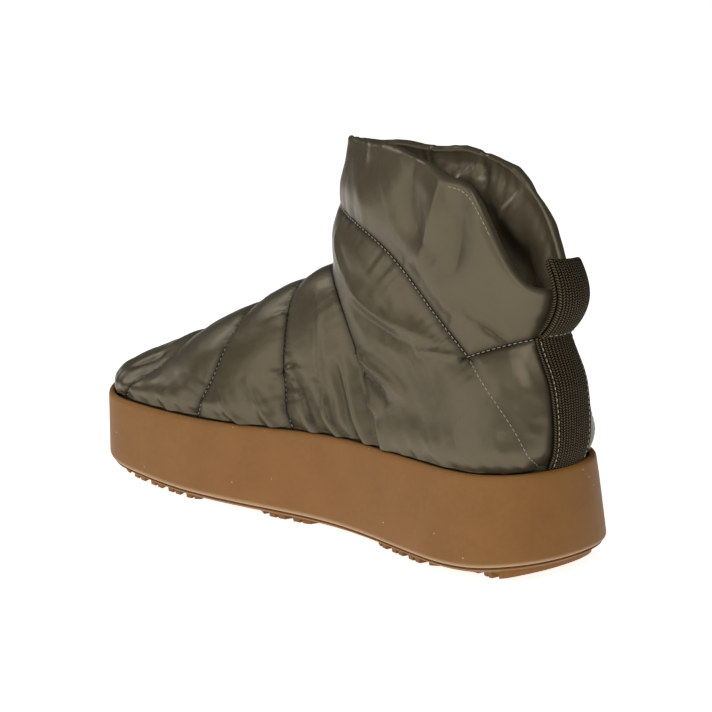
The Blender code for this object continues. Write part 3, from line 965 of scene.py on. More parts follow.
@dataclass(frozen=True)
class FootbedCloth:
    """Dark brushed cloth over the footbed's foam."""

    name: str = "footbed_cloth"
    deep: Colour = Colour(44, 38, 29)
    bright: Colour = Colour(62, 54, 42)
    roughness: float = 0.95
    nap_cells: float = 1300.0
    nap_depth: float = 0.12
    sheen: float = 0.3

    def material(self) -> bpy.types.Material:
        """The finish, with a short nap."""
        paint = Paint(self.name)
        nap = paint.clouds(self.nap_cells, 3.0)
        paint.set(Base_Color=paint.mixed(nap, self.deep, self.bright), Roughness=self.roughness)
        paint.set(Normal=paint.bump(nap, self.nap_depth), Sheen_Weight=self.sheen)
        return paint.material


@dataclass(frozen=True)
class PaleFloor:
    """Plain off-white floor that glows along the line of sight, as a light table does."""

    name: str = "pale_floor"
    deep: Colour = Colour(232, 231, 229)
    bright: Colour = Colour(238, 237, 235)
    roughness: float = 0.9
    specular: float = 0.1
    glow: float = 0.85
    dim: Colour = Colour(96, 96, 96)
    lit: Colour = Colour(255, 255, 255)
    across: tuple[float, float, float] = (0.707, 0.707, 0.0)
    half_width: float = 0.40
    soft_width: float = 0.45

    def material(self) -> bpy.types.Material:
        """The finish, all but even, with a soft edge to its glow."""
        paint = Paint(self.name)
        haze = paint.clouds(2.0, 2.0)
        ways = {0: paint.place, 1: self.across}
        aside = paint.add("ShaderNodeVectorMath", {"operation": "DOT_PRODUCT"}, ways, "Value")
        fade = {
            "Value": aside * aside,
            "From Min": self.half_width**2,
            "From Max": (self.half_width + self.soft_width) ** 2,
        }
        share = paint.add("ShaderNodeMapRange", {"interpolation_type": "SMOOTHSTEP"}, fade)
        paint.set(Base_Color=paint.mixed(haze, self.deep, self.bright), Roughness=self.roughness)
        paint.set(Emission_Color=paint.mixed(share, self.lit, self.dim))
        paint.set(Emission_Strength=self.glow, Specular_IOR_Level=self.specular)
        return paint.material


def finished(
    piece: Piece,
    material: bpy.types.Material,
    nodes: Iterable[str] = (),
) -> None:
    """Gives a piece its finish and its place in the frame.

    Args:
        piece: The piece, at the origin with its place in its mesh.
        material: Its finish.
        nodes: CAD nodes that the piece stands for.
    """
    piece.data.materials.clear()
    piece.data.materials.append(material)
    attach(piece, BODY)
    if nodes:
        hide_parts(*nodes)
    LOG.info("%s: %d faces", piece.name, len(piece.data.polygons))


@dataclass
class PlatformSole:
    """The gum platform: a cup with a rounded rim, and a tread plate with zigzag lugs below it."""

    form: SoleForm
    stations: int = 110
    rim_thickness: float = 3.4
    piece_gap: float = 0.3
    plate_inset: float = 2.0
    plate_thickness: float = 2.2
    plate_bevel: float = 2.6
    lug_inset: float = 6.0
    lug_taper: float = 0.5
    lug_height: float = 2.6
    lug_pitch: float = 12.0
    groove_width: float = 4.2
    sipe_width: float = 1.6
    sipe_height: float = 1.6
    zigzag_height: float = 7.0
    zigzag_runs: tuple[float, ...] = (-60.0, -36.0, -12.0, 12.0, 36.0, 60.0)
    tread_start: float = 16.0
    tread_end: float = 256.0
    plain_middles: tuple[float, ...] = (34.0, 106.0, 170.0)
    plain_length: float = 16.0
    plain_inset: float = 10.0
    cutter_foot: float = -6.0

    def build(self) -> None:
        """Models and dresses both pieces."""
        gum = GumRubber().material()
        # The tread plate gets no painted floor light
        tread = GumRubber(name="gum_tread", bloom_share=0.0).material()
        finished(self.midsole(), gum, ["midsole"])
        finished(self.outsole(), tread, ["outsole"])

    def midsole(self) -> Piece:
        """The cup, drawn from its foot over the rim and down to the bed."""
        form = self.form
        edge, rim = (partial(form.height_of, name) for name in ("edge", "rim"))
        plan = (
            (2.6, edge(), 1.0),
            (2.0, edge(0.12), 1.0),
            (1.2, edge(0.55), 0.99),
            (0.5, edge(1.25), 0.97),
            (0.12, edge(2.1), 0.945),
            (0.0, edge(3.0), 0.92),
            (0.0, form.between("edge", "rim", 0.25), 0.75),
            (0.0, form.between("edge", "rim", 0.5), 0.5),
            (0.0, form.between("edge", "rim", 0.75), 0.24),
            (0.0, rim(-2.4), 0.02),
            (0.18, rim(-1.2), 0.0),
            (0.75, rim(-0.35), 0.0),
            (1.5, rim(-0.02), 0.0),
            (2.2, rim(-0.1), 0.0),
            (2.9, rim(-0.6), 0.0),
            (self.rim_thickness, rim(-1.6), 0.0),
            (self.rim_thickness, form.height_of("bed"), 0.0),
        )
        rings = [form.ring(inset, height, flare, self.stations) for inset, height, flare in plan]
        piece = Bench.loft("midsole_cup", rings)
        Bench.smooth(piece, 50)
        return piece

    def lugs_in(self, x: Array) -> Array:
        """How far the lugs stand in from the wall, more in the plain stretches."""
        inset = np.full(np.shape(x), self.lug_inset)
        for middle in self.plain_middles:
            inset = inset + self.plain_inset * np.exp(-(((x - middle) / self.plain_length) ** 4))
        return inset

    def zigzag(self, x: float, width: float, root: float) -> Piece:
        """A cutter for one groove across the tread, up to the groove's root."""
        rows = []
        for i, y in enumerate(self.zigzag_runs):
            middle = x + self.zigzag_height / 2 * (-1) ** i
            low = middle - width / 2
            high = middle + width / 2
            foot = self.cutter_foot
            rows.append([(low, y, foot), (high, y, foot), (high, y, root), (low, y, root)])
        piece = Bench.sheet("groove", np.array(rows))
        Bench.weld(piece)
        Bench.close_ends(piece, bpy.ops.mesh.fill)
        return piece

    def outsole(self) -> Piece:
        """The tread plate with its bevelled edge, cut by deep grooves and a fine sipe along each lug."""
        form = self.form
        gap = -self.piece_gap
        plan = (
            (self.plate_inset + 0.6, form.height_of("edge", gap)),
            (self.plate_inset, form.height_of("edge", gap - 0.5)),
            (self.plate_inset + self.plate_bevel, form.height_of("edge", gap - self.plate_thickness)),
            (self.lugs_in, form.height_of("edge", gap - self.plate_thickness)),
            (lambda x: self.lugs_in(x) + self.lug_taper, form.height_of("ground")),
        )
        rings = [form.ring(inset, height, 1.0, self.stations) for inset, height in plan]
        piece = Bench.loft("tread_plate", rings)
        cutters = []
        for x in np.arange(self.tread_start, self.tread_end, self.lug_pitch):
            ground = float(form.level("ground", x))
            cutters.append(self.zigzag(x, self.groove_width, ground + self.lug_height))
            middle = x + self.lug_pitch / 2
            ground = float(form.level("ground", middle))
            cutters.append(self.zigzag(middle, self.sipe_width, ground + self.sipe_height))
        Bench.hold(cutters[0])
        for cutter in cutters:
            cutter.select_set(True)
        bpy.ops.object.join()
        cutter = bpy.context.object
        cut = piece.modifiers.new("grooves", "BOOLEAN")
        cut.operation = "DIFFERENCE"
        cut.solver = "EXACT"
        cut.object = cutter
        Bench.apply(piece, cut)
        bpy.data.objects.remove(cutter)
        Bench.smooth(piece, 30)
        return piece


class Reading(NamedTuple):
    """Where points lie beside a line: how far to one side, how far along it, and at what share of it."""

    aside: Array
    along: Array
    share: Array


@dataclass(frozen=True)
class SideLine:
    """A smooth line drawn on the side view of the upper, through a few points."""

    points: tuple[tuple[float, float], ...]
    pieces: int = 28
    far: float = 999.0
    steepest: float = 0.08

    def drawn(self) -> Array:
        """The line as many short straight runs."""
        return through(self.points, self.pieces + 1)[0]

    def read(self, form: Array, normals: Array | None = None, reach: float = 30.0) -> Reading:
        """Measures points of the upper against the line.

        Args:
            form: Points of the upper's form.
            normals: The form's unit normals, which turn side-view distances into true ones.
            reach: Points further off than this on the side view are only said to be far.

        Returns:
            Signed distances, above nought behind a line that is drawn downwards, and distances along it.
        """
        line = self.drawn()
        places = form[..., (0, 2)]
        close = np.all((places > line.min(axis=0) - reach) & (places < line.max(axis=0) + reach), axis=-1)
        runs = np.diff(line, axis=0)
        lengths = np.hypot(*runs.T)
        starts = np.concatenate([[0.0], np.cumsum(lengths)])
        offset = places[close][:, None] - line[None, :-1]
        share = np.clip((offset * runs).sum(axis=-1) / lengths**2, 0, 1)
        distance = np.linalg.norm(offset - share[..., None] * runs, axis=-1)
        best = np.argmin(distance, axis=1)
        rows = np.arange(len(best))
        run = runs[best] / lengths[best][:, None]
        from_start = offset[rows, best]
        sign = np.where(from_start[:, 0] * run[:, 1] - from_start[:, 1] * run[:, 0] >= 0, 1.0, -1.0)
        stretch = 1.0
        if normals is not None:
            facing = run[:, 1] * normals[close][:, 0] - run[:, 0] * normals[close][:, 2]
            stretch = 1 / np.sqrt(np.clip(1 - facing**2, self.steepest, 1))
        aside = np.full(close.shape, self.far)
        along = np.zeros(close.shape)
        aside[close] = distance[rows, best] * sign * stretch
        along[close] = starts[best] + share[rows, best] * lengths[best]
        return Reading(aside, along, along / starts[-1])


@dataclass(frozen=True)
class Seam:
    """A sewn line of the quilting: its depth at each end, how it puckers, and how its stitches lie."""

    name: str
    low_depth: float
    high_depth: float
    pucker: float
    stitch_lift: float
    line: SideLine

    def depth(self, share: Array) -> Array:
        """How deep the seam pulls in, at shares of its length from its high end."""
        return self.high_depth + (self.low_depth - self.high_depth) * share


class Fold(Enum):
    """The shapes that a crease takes across its line."""

    RIDGE = "ridge"
    TROUGH = "trough"
    LAP = "lap"


@dataclass(frozen=True)
class Crease:
    """A crease of the cloth. A lap drawn downwards has its rear side on top, drawn upwards its front."""

    name: str
    fold: Fold
    height: float
    width: float
    line: SideLine
    sharpness: float = 1.3
    beside: float = 0.9
    lap_softness: float = 1.8
    lap_front: float = 0.6
    lap_drop: float = 0.75
    end_power: float = 0.8
    darkest: float = 0.8
    reach: float = 4.0
    ridge_dip: tuple[float, float] = (0.10, 2.1)
    trough_lip: tuple[float, float] = (0.12, 2.0)
    # Painted shade of laps and of troughs, kept below darkest
    lap_dark: tuple[float, float, float] = (0.22, 0.7, 1.5)
    trough_dark: tuple[float, float, float] = (0.18, 1.7, 0.6)

    def read(self, form: Array, normals: Array) -> tuple[Reading, Array]:
        """Measures points against the crease's line, and how much of it is left towards its ends."""
        reading = self.line.read(form, normals, self.reach * self.width)
        return reading, np.sin(math.pi * np.clip(reading.share, 0, 1)) ** self.end_power

    def profile(self, aside: Array) -> Array:
        """Heights across the crease."""
        reach = np.abs(aside) / self.width
        crown = np.exp(-(reach**self.sharpness))
        if self.fold is Fold.RIDGE:
            share, at = self.ridge_dip
            return self.height * (crown - share * bell(reach - at, self.beside))
        if self.fold is Fold.TROUGH:
            share, at = self.trough_lip
            return self.height * (share * bell(reach - at, self.beside) - crown)
        over = 0.5 + 0.5 * np.tanh(aside / self.lap_softness)
        behind = bell(np.maximum(aside, 0), self.width)
        before = np.exp(-np.maximum(-aside, 0) / (self.lap_front * self.width))
        return self.height * (over * behind - self.lap_drop * (1 - over) * before)

    def shade(self, aside: Array) -> Array:
        """The painted shade across the crease's line: darkest where a lap closes on itself, only dim in a
        trough.
        """
        if self.fold is Fold.LAP:
            share, before, width = self.lap_dark
            return np.clip(share * self.height, 0, self.darkest) * bell(aside + before, width)
        if self.fold is Fold.TROUGH:
            share, narrow, across = self.trough_dark
            dim = share * self.height / max(1.0, self.width / narrow)
            return np.clip(dim, 0, self.darkest) * bell(aside, across * self.width)
        return np.zeros(aside.shape)


SEAMS = (
    Seam("toe", 2.4, 0.8, 0.35, 0.05, SideLine(((215, 74), (221.5, 58), (230, 47.5), (237, 37)))),
    Seam("vamp", 3.2, 1.3, 0.40, 0.05, SideLine(((182, 95), (179.5, 75), (181.5, 57), (188, 36)))),
    Seam("instep", 3.6, 1.9, 0.80, -0.1, SideLine(((154, 110), (143, 80), (140, 60), (133, 38)))),
    Seam("throat", 1.2, 2.8, 0.15, -0.3, SideLine(((139, 118), (120, 110), (106, 93), (94, 70), (81, 40)))),
    Seam(
        "ankle", 3.6, 3.4, 0.50, 0.45, SideLine(((142, 144), (117, 140.5), (89, 132), (60, 111), (36, 92.5)))
    ),
    Seam("heel", 0.35, 0.35, 0.06, 0.12, SideLine(((37, 93), (20, 77), (9, 61), (7, 45)))),
    Seam("counter", 3.0, 2.8, 0.45, 0.35, SideLine(((40, 92.5), (18, 101), (5, 103.5)))),
)

CREASES = (
    Crease("instep ridge", Fold.RIDGE, 1.8, 1.5, SideLine(((124, 98), (120, 80), (115.5, 61), (113, 50)))),
    Crease("arch lap", Fold.LAP, 3.0, 6.5, SideLine(((107, 27), (116, 41), (129, 62), (140, 79)))),
    Crease("arch trough", Fold.TROUGH, 3.9, 1.9, SideLine(((113, 80), (104.5, 59), (94, 40), (87, 28)))),
    Crease("arch roll", Fold.RIDGE, 2.4, 3.2, SideLine(((108, 82), (98.5, 60), (88, 42), (81, 30)))),
    Crease("arch second lap", Fold.LAP, 2.6, 5.5, SideLine(((92, 28), (101, 40), (110.5, 53.5), (121, 70)))),
    Crease("counter lap", Fold.LAP, 3.4, 9.0, SideLine(((101, 86), (90, 64), (83, 52), (81, 42), (80, 29)))),
    Crease("counter fold", Fold.RIDGE, 2.8, 2.4, SideLine(((102, 84.5), (86, 79.5), (66, 70)))),
    Crease("counter tuck", Fold.TROUGH, 2.4, 2.0, SideLine(((100, 78), (88, 73), (76, 66)))),
    Crease("counter nip", Fold.RIDGE, 1.8, 1.6, SideLine(((93, 69), (86, 63.5), (80, 61)))),
    Crease("ankle roll", Fold.RIDGE, 2.6, 3.6, SideLine(((109, 114), (92, 105.5), (70, 100), (49, 97)))),
    Crease("ankle roll trough", Fold.TROUGH, 1.7, 2.8, SideLine(((105, 106), (88, 99), (62, 93.5)))),
    Crease("junction nip", Fold.RIDGE, 1.0, 1.3, SideLine(((63, 92), (52, 93), (41, 93.2)))),
    Crease("heel fold", Fold.TROUGH, 1.4, 1.7, SideLine(((35, 110), (28, 105), (21, 100)))),
    Crease("heel swell", Fold.RIDGE, 1.0, 3.6, SideLine(((54, 115), (42, 110.5), (31, 107)))),
    Crease("shaft trough", Fold.TROUGH, 3.0, 5.5, SideLine(((69, 176), (70.5, 158), (66, 146), (54, 131)))),
    Crease("shaft band", Fold.RIDGE, 3.4, 5.5, SideLine(((53, 172), (55, 153), (61, 136), (66, 124)))),
    Crease("shaft second trough", Fold.TROUGH, 2.0, 4.5, SideLine(((43, 160), (42, 146), (45, 126)))),
    Crease("shaft front", Fold.RIDGE, 1.0, 8.0, SideLine(((100, 172), (104, 156), (98, 140)))),
    Crease("throat edge", Fold.RIDGE, 1.5, 1.7, SideLine(((123, 131), (114, 121), (105, 112)))),
    Crease("toe crease", Fold.TROUGH, 1.4, 1.8, SideLine(((239, 59), (247, 53), (253, 48)))),
    Crease("toe second crease", Fold.TROUGH, 1.5, 2.0, SideLine(((225, 61), (233, 55), (242, 49)))),
    Crease("vamp nip", Fold.RIDGE, 1.7, 2.0, SideLine(((175, 56), (166, 47), (158, 40), (151, 33)))),
    Crease("vamp second nip", Fold.RIDGE, 1.9, 2.2, SideLine(((161, 63), (152, 53.5), (144, 44), (136, 34)))),
    Crease("vamp third nip", Fold.RIDGE, 1.4, 1.8, SideLine(((170, 48), (160, 43), (152, 39), (143, 34)))),
)

LINING_CREASES = (
    Crease("first roll", Fold.RIDGE, 3.4, 2.6, SideLine(((95, 166), (84, 161), (72, 155.5)))),
    Crease("first valley", Fold.TROUGH, 3.2, 2.0, SideLine(((88, 159), (75, 153), (66, 149), (61, 141)))),
    Crease("edge nick", Fold.TROUGH, 2.8, 1.6, SideLine(((68, 169), (64, 163), (63, 154)))),
    Crease("second roll", Fold.RIDGE, 2.6, 2.4, SideLine(((79, 164), (72, 160), (63, 155)))),
    Crease("wide swell", Fold.RIDGE, 3.4, 5.0, SideLine(((62, 154), (49, 145), (38, 133)))),
    Crease("low hollow", Fold.TROUGH, 3.2, 5.0, SideLine(((60, 138), (45, 127), (30, 118)))),
    Crease("hem fold", Fold.RIDGE, 2.0, 1.8, SideLine(((55, 142), (47, 151), (42, 159)))),
    Crease("front pleat", Fold.TROUGH, 1.6, 1.1, SideLine(((97, 169), (96, 164), (94, 158)))),
    Crease("front second pleat", Fold.TROUGH, 1.6, 1.1, SideLine(((93.5, 169), (92.5, 165), (91, 160)))),
)


class Cloud(NamedTuple):
    """Soft unevenness of the cloth: its height, the size of its swells, its finer layers and its place."""

    height: float
    size: float
    octaves: int
    seed: float

    def over(self, form: Array) -> Array:
        """Heights over points of the form."""
        return self.height * cloudiness(form, self.size, self.octaves, self.seed)


class Skin(NamedTuple):
    """The upper's outer face as rows and columns of points, with what the seams and the stitches need."""

    points: Array
    normals: Array
    seam: Array
    # shade: painted shade of the seams and creases
    shade: Array
    readings: dict[str, Reading]


@dataclass
class QuiltedUpper:
    """The padded shell: satin outside, a rolled collar and a lining, pulled in along its quilting seams."""

    form: UpperForm
    around_steps: int = 504
    roll_steps: int = 9
    lining_steps: int = 56
    column_evening: float = 0.13
    collar_level: float = 15.8
    row_runs: tuple[tuple[float, float, int], ...] = ((0.0, 0.6, 4), (0.68, 1.6, 24), (1.7, 15.8, 146))
    snap_reach: float = 0.6
    wall: float = 4.0
    puff: float = 0.8
    slack_puff: float = -0.9
    seam_reach: float = 7.5
    seam_pinch: float = 1.3
    seam_shares: tuple[float, float, float] = (0.45, 0.55, 0.25)
    pucker_reach: float = 3.2
    overhang: float = 2.5
    overhang_reach: float = 13.0
    overhang_start: float = 1.0
    overhang_rise: float = 0.9
    rim_start: float = 0.1
    rim_fade: float = 1.2
    rim_run: float = 594.0
    rim_gather: float = 0.4
    rim_waves: tuple[int, float, float] = (211, 5.0, 19.0)
    rim_gather_reach: float = 7.0
    rim_gather_start: float = 2.0
    rim_gather_lean: float = 0.5
    deepest: float = 2.2
    deepest_give: float = 0.8
    clouds: tuple[Cloud, ...] = (Cloud(0.25, 34.0, 3, 3.7), Cloud(0.10, 9.0, 2, 9.1))
    wrinkle: float = 0.45
    wrinkle_set: tuple[float, float] = (13.0, 4.3)
    wrinkle_fade: float = 6.0
    wrinkle_slope: float = 50.0
    wrinkle_length: float = 3.5
    wrinkle_width: float = 0.25
    wrinkle_patch: float = 45.0
    wrinkle_cover: tuple[float, float] = (0.45, 1.2)
    lining_clouds: tuple[Cloud, ...] = (Cloud(0.8, 26.0, 3, 17.3), Cloud(0.7, 11.0, 2, 5.9))
    lining_wrinkle: float = 1.9
    lining_wrinkle_set: tuple[float, float] = (17.0, 21.7)
    lining_run: float = 396.0
    lining_gather: float = 0.45
    lining_waves: tuple[int, float, float] = (7, 9.0, 26.0)
    lining_lean: float = 0.6
    lining_slack: float = 1.2
    lining_slack_reach: float = 10.0
    lining_swell: float = 1.8
    lining_swell_band: tuple[float, float] = (16.0, 11.0)
    lining_creases: tuple[Crease, ...] = LINING_CREASES
    least_wall: float = 3.2
    open_half: float = 0.4
    open_share: float = 0.5
    hem_width: float = 0.9
    hem_stretch: tuple[float, float] = (27.0, 50.0)
    hem_lift: float = 0.05
    lining_hem: float = 3.0
    lining_hem_pull: float = 0.8
    lining_hem_pinch: float = 1.5
    lining_hem_gather: float = 0.3
    lining_hem_band: tuple[float, float] = (4.0, 3.0)
    lining_hem_waves: tuple[int, float, float] = (77, 4.0, 11.0)
    pucker_waves: tuple[float, float] = (4.0, 15.0)
    pucker_patches: tuple[float, float] = (25.0, 60.0)
    pucker_cover: float = 0.4
    # Painted shade in the seams, and how shallow seams lose their painted shadow line
    seam_dark: float = 0.24
    seam_dark_width: float = 1.6
    faint_depth: float = 1.6
    faint_offset: float = 2.0
    no_seam: float = 9.0
    stitch_pitch: float = 2.3
    stitch_foot: float = -0.5
    fewest_points: int = 8
    crossing_reach: float = 6.0
    seam_ends: tuple[float, float] = (0.005, 0.995)
    stitch_size: tuple[float, float] = (1.6, 0.36)
    strap_half: float = 12.4
    strap_front: float = 30.0
    strap_top: float = 112.0
    strap_fade: tuple[float, float, float] = (6.0, 8.0, 5.0)
    strap_press: float = 0.35
    padding_columns: int = 168
    padding_rows: int = 74
    padding_low: float = 0.9
    padding_sewn: float = 0.8
    padding_rim: float = 1.5
    padding_frames: int = 24
    padding_slack: float = 0.002
    padding_pressure: float = 60.0
    padding_mass: float = 0.02
    padding_tension: float = 0.2
    padding_bending: float = 1.0
    padding_cap: float = 2.5
    padding_calm: int = 2
    padding_fade: float = 3.5
    edge_reach: float = 9.0
    lateral_shift: tuple[float, float, float] = (4.0, 0.0, -3.0)
    lateral_share: float = 0.8
    seams: tuple[Seam, ...] = SEAMS
    creases: tuple[Crease, ...] = CREASES

    def build(self) -> None:
        skin = self.outer_skin()
        shell = self.shell(skin)
        finished(shell, SatinNylon().material(), ["upper"])
        finished(self.stitching(skin), SewingThread().material())

    def columns(self, count: int) -> Array:
        """Angles of evenly spaced columns, from the centre of the heel and back to it."""
        turn = math.pi + (np.arange(count) + 0.5) * 2 * math.pi / count
        return turn + self.column_evening * np.sin(2 * turn)

    def rows(self) -> Array:
        """Levels of the outer face, closest at the sole's rim."""
        return np.concatenate([np.linspace(*run) for run in self.row_runs])

    def moved(self, form: Array, side: Side) -> Array:
        """The form as the creases of one side see it; the lateral ones lie higher and further back."""
        return form if side is Side.MEDIAL else form + np.array(self.lateral_shift)

    def snapped(self, around: Array, level: Array) -> tuple[Array, Array]:
        """Moves the grid's nearest points onto the seams and laps, so that each is a clean line."""
        lines = [(seam.line, side, False) for seam in self.seams for side in Side]
        laps = [crease for crease in self.creases if crease.fold is Fold.LAP]
        lines += [(crease.line, side, True) for crease in laps for side in Side]
        for line, side, shifted in lines:
            form = self.form.points(around, level)
            aside = line.read(self.moved(form, side) if shifted else form).aside
            by_column = (np.roll(aside, -1, axis=1) - np.roll(aside, 1, axis=1)) / 2
            by_row = np.gradient(aside, axis=0)
            size = by_column**2 + by_row**2 + 1e-9
            shift_column = -aside * by_column / size
            shift_row = -aside * by_row / size
            near = np.hypot(shift_column, shift_row) < self.snap_reach
            near &= np.sin(around) * side.value > 0
            near[0] = near[-1] = False
            step_column = (np.roll(around, -1, axis=1) - np.roll(around, 1, axis=1)) / 2
            step_row = np.gradient(level, axis=0)
            around = around + np.where(near, shift_column * step_column, 0)
            level = np.clip(level + np.where(near, shift_row * step_row, 0), 0, self.form.top)
        return around, level

    def outer_skin(self) -> Skin:
        """The outer face: the form, padded between the seams, puckered along them and creased along listed
        lines.
        """
        around, level = np.meshgrid(self.columns(self.around_steps), self.rows())
        padding = self.padding(self.columns(self.around_steps), self.rows())
        around, level = self.snapped(around, level)
        form = self.form.points(around, level)
        normals = self.form.normals(around, level)
        readings = self.measured(form, normals)
        rest = self.at_rest(readings)
        height = rest - self.valleys(readings, rest)
        height = height + self.puckers(readings, around) * (1 - self.strapped(form))
        folds, shade = self.folds(form, normals, around)
        height = height + folds
        for cloud in self.clouds:
            height = height + cloud.over(form)
        height = height + self.rim_gathers(form)
        sewn = self.from_seams(readings)
        wrinkles = self.wrinkle * self.wrinkles(form, *self.wrinkle_set)
        height = height + wrinkles * (1 - bell(sewn, self.wrinkle_fade))
        height = self.under_strap(form, height)
        past = np.maximum(-self.deepest - height, 0)
        height = np.maximum(height, -self.deepest) - self.deepest_give * np.tanh(past / self.deepest_give)
        shown = self.above_rim(form)
        height = height * shown + self.over_rim(form)
        free = shown * (1 - bell(sewn, self.padding_fade))
        points = form + height[..., None] * normals + padding * free[..., None]
        # Painted shadow lines and painted shade of the seams, joined with the creases' painted shade
        seam, seam_shade = self.seam_shade(readings)
        return Skin(points, normals, seam, np.maximum(shade, seam_shade) * shown, readings)

    def measured(self, form: Array, normals: Array) -> dict[str, Reading]:
        """Where points of the form lie beside each seam and the hem, by name."""
        readings = {seam.name: seam.line.read(form, normals) for seam in self.seams}
        return {**readings, "hem": self.hem_reading(form)}

    def from_seams(self, readings: dict[str, Reading]) -> Array:
        """Distances from the nearest quilting seam."""
        return np.min([np.abs(readings[seam.name].aside) for seam in self.seams], axis=0)

    def at_rest(self, readings: dict[str, Reading]) -> Array:
        """Heights of the cloth before its padding presses it out; the collar's edge stays full."""
        slack = self.slack_puff
        below_edge = self.hem_width - readings["hem"].aside
        return slack + (self.puff - slack) * bell(below_edge, self.edge_reach)

    def rim_gap(self, form: Array) -> Array:
        """Heights above the sole's rim."""
        return form[..., 2] - self.form.sole.level("rim", np.clip(form[..., 0], 0, self.form.sole.length))

    def above_rim(self, form: Array) -> Array:
        """Nought inside the sole, one just above its rim."""
        return np.clip((self.rim_gap(form) + self.rim_start) / self.rim_fade, 0, 1)

    def over_rim(self, form: Array) -> Array:
        """How far the cloth bulges out over the sole's rim."""
        gap = self.rim_gap(form)
        start = np.clip((gap + self.rim_start) / self.overhang_rise, 0, 1) * (1 - self.strapped(form))
        return self.overhang * start * bell(np.maximum(gap - self.overhang_start, 0), self.overhang_reach)

    def rim_gathers(self, form: Array) -> Array:
        """Small gathers that run up from the sole's rim."""
        run = np.linspace(0, self.rim_run, form.shape[1])
        gathers = ripple(run + self.rim_gather_lean * form[..., 2], *self.rim_waves)
        above = np.maximum(self.rim_gap(form) - self.rim_gather_start, 0)
        return self.rim_gather * gathers * bell(above, self.rim_gather_reach)

    def wrinkles(self, form: Array, size: float, seed: float) -> Array:
        """Long thin wrinkles in patches, which run down the cloth towards the heel.

        Args:
            form: Points of the form.
            size: Distance from one wrinkle to the next.
            seed: Picks one set of wrinkles out of many.

        Returns:
            Heights of 0 to 1.
        """
        slope = math.radians(self.wrinkle_slope)
        x, y, z = np.moveaxis(form, -1, 0)
        down = (x * math.cos(slope) + z * math.sin(slope)) / self.wrinkle_length
        over = z * math.cos(slope) - x * math.sin(slope)
        drawn_out = np.stack([down, y / 3, over], axis=-1)
        lines = bell(cloudiness(drawn_out, size, 2, seed), self.wrinkle_width)
        base, gain = self.wrinkle_cover
        return lines * np.clip(base + gain * cloudiness(form, self.wrinkle_patch, 2, seed + 7.1), 0, 1)

    def strapped(self, form: Array) -> Array:
        """One where the heel strap lies on the cloth, falling to nought beside it."""
        ahead, aside, above = self.strap_fade
        inside = np.clip((self.strap_half + aside - np.abs(form[..., 1])) / aside, 0, 1)
        inside = inside * np.clip((self.strap_front - form[..., 0]) / ahead, 0, 1)
        return inside * np.clip((self.strap_top - form[..., 2]) / above, 0, 1)

    def padding(self, around: Array, level: Array) -> Array:
        """Swells the padded cloth between its sewn lines with a short cloth simulation.

        Args:
            around: Angles of the outer face's columns.
            level: Levels of its rows.

        Returns:
            How far each point of the outer face is pushed, in millimetres.
        """
        columns = self.columns(self.padding_columns)
        rows = np.linspace(self.padding_low, self.collar_level, self.padding_rows)
        grid = self.snapped(*np.meshgrid(columns, rows))
        form = self.form.points(*grid)
        normals = self.form.normals(*grid)
        readings = self.measured(form, normals)
        sewn = self.from_seams(readings) < self.padding_sewn
        sewn[:2] = True
        sewn[-2:] = True
        sewn |= self.rim_gap(form) < self.padding_rim
        at_heel = (form[..., 0] < self.strap_front) & (form[..., 2] < self.strap_top)
        sewn |= (np.abs(form[..., 1]) < self.strap_half) & at_heel
        rest = self.at_rest(readings)
        start = form + (rest - self.valleys(readings, rest))[..., None] * normals
        swell = self.swollen(start, sewn)
        size = np.linalg.norm(swell, axis=-1, keepdims=True)
        swell = swell * (self.padding_cap * np.tanh(size / self.padding_cap) / np.maximum(size, 1e-6))
        for _ in range(self.padding_calm):
            swell = (np.roll(swell, 1, axis=1) + 2 * swell + np.roll(swell, -1, axis=1)) / 4
            tall = np.concatenate([swell[:1], swell, swell[-1:]])
            swell = (tall[:-2] + 2 * swell + tall[2:]) / 4
        return self.refined(swell, columns, rows, around, level)

    def swollen(self, start: Array, sewn: Array) -> Array:
        """How far each point of a slack skin moves when its padding presses it out between sewn points."""
        cloth = Bench.sheet("padding", start)
        held = np.concatenate([sewn, sewn[:, :1]], axis=1)
        held[:, 0] = held[:, -1] = True
        group = cloth.vertex_groups.new(name="sewn")
        group.add(np.flatnonzero(held).tolist(), 1.0, "REPLACE")
        soft = cloth.modifiers.new("padding", "CLOTH")
        settings = {
            "quality": 6,
            "mass": self.padding_mass,
            "tension_stiffness": self.padding_tension,
            "compression_stiffness": self.padding_tension,
            "shear_stiffness": 0.5 * self.padding_tension,
            "bending_stiffness": self.padding_bending,
            "air_damping": 3.0,
            "vertex_group_mass": "sewn",
            "shrink_min": -self.padding_slack,
            "use_pressure": True,
            "uniform_pressure_force": self.padding_pressure,
        }
        for name, value in settings.items():
            setattr(soft.settings, name, value)
        soft.settings.effector_weights.gravity = 0.0
        soft.collision_settings.use_collision = False
        soft.collision_settings.use_self_collision = False
        soft.point_cache.frame_end = self.padding_frames
        before = Bench.coordinates(cloth)
        for frame in range(1, self.padding_frames + 1):
            bpy.context.scene.frame_set(frame)
        Bench.apply(cloth, soft)
        pushed = (Bench.coordinates(cloth) - before) / MM
        bpy.context.scene.frame_set(1)
        bpy.data.objects.remove(cloth)
        pushed = pushed.reshape(start.shape[0], start.shape[1] + 1, 3)[:, :-1]
        size = np.abs(pushed)
        LOG.info("padding: %.2f mm at most, %.2f mm on average", size.max(), size.mean())
        return pushed

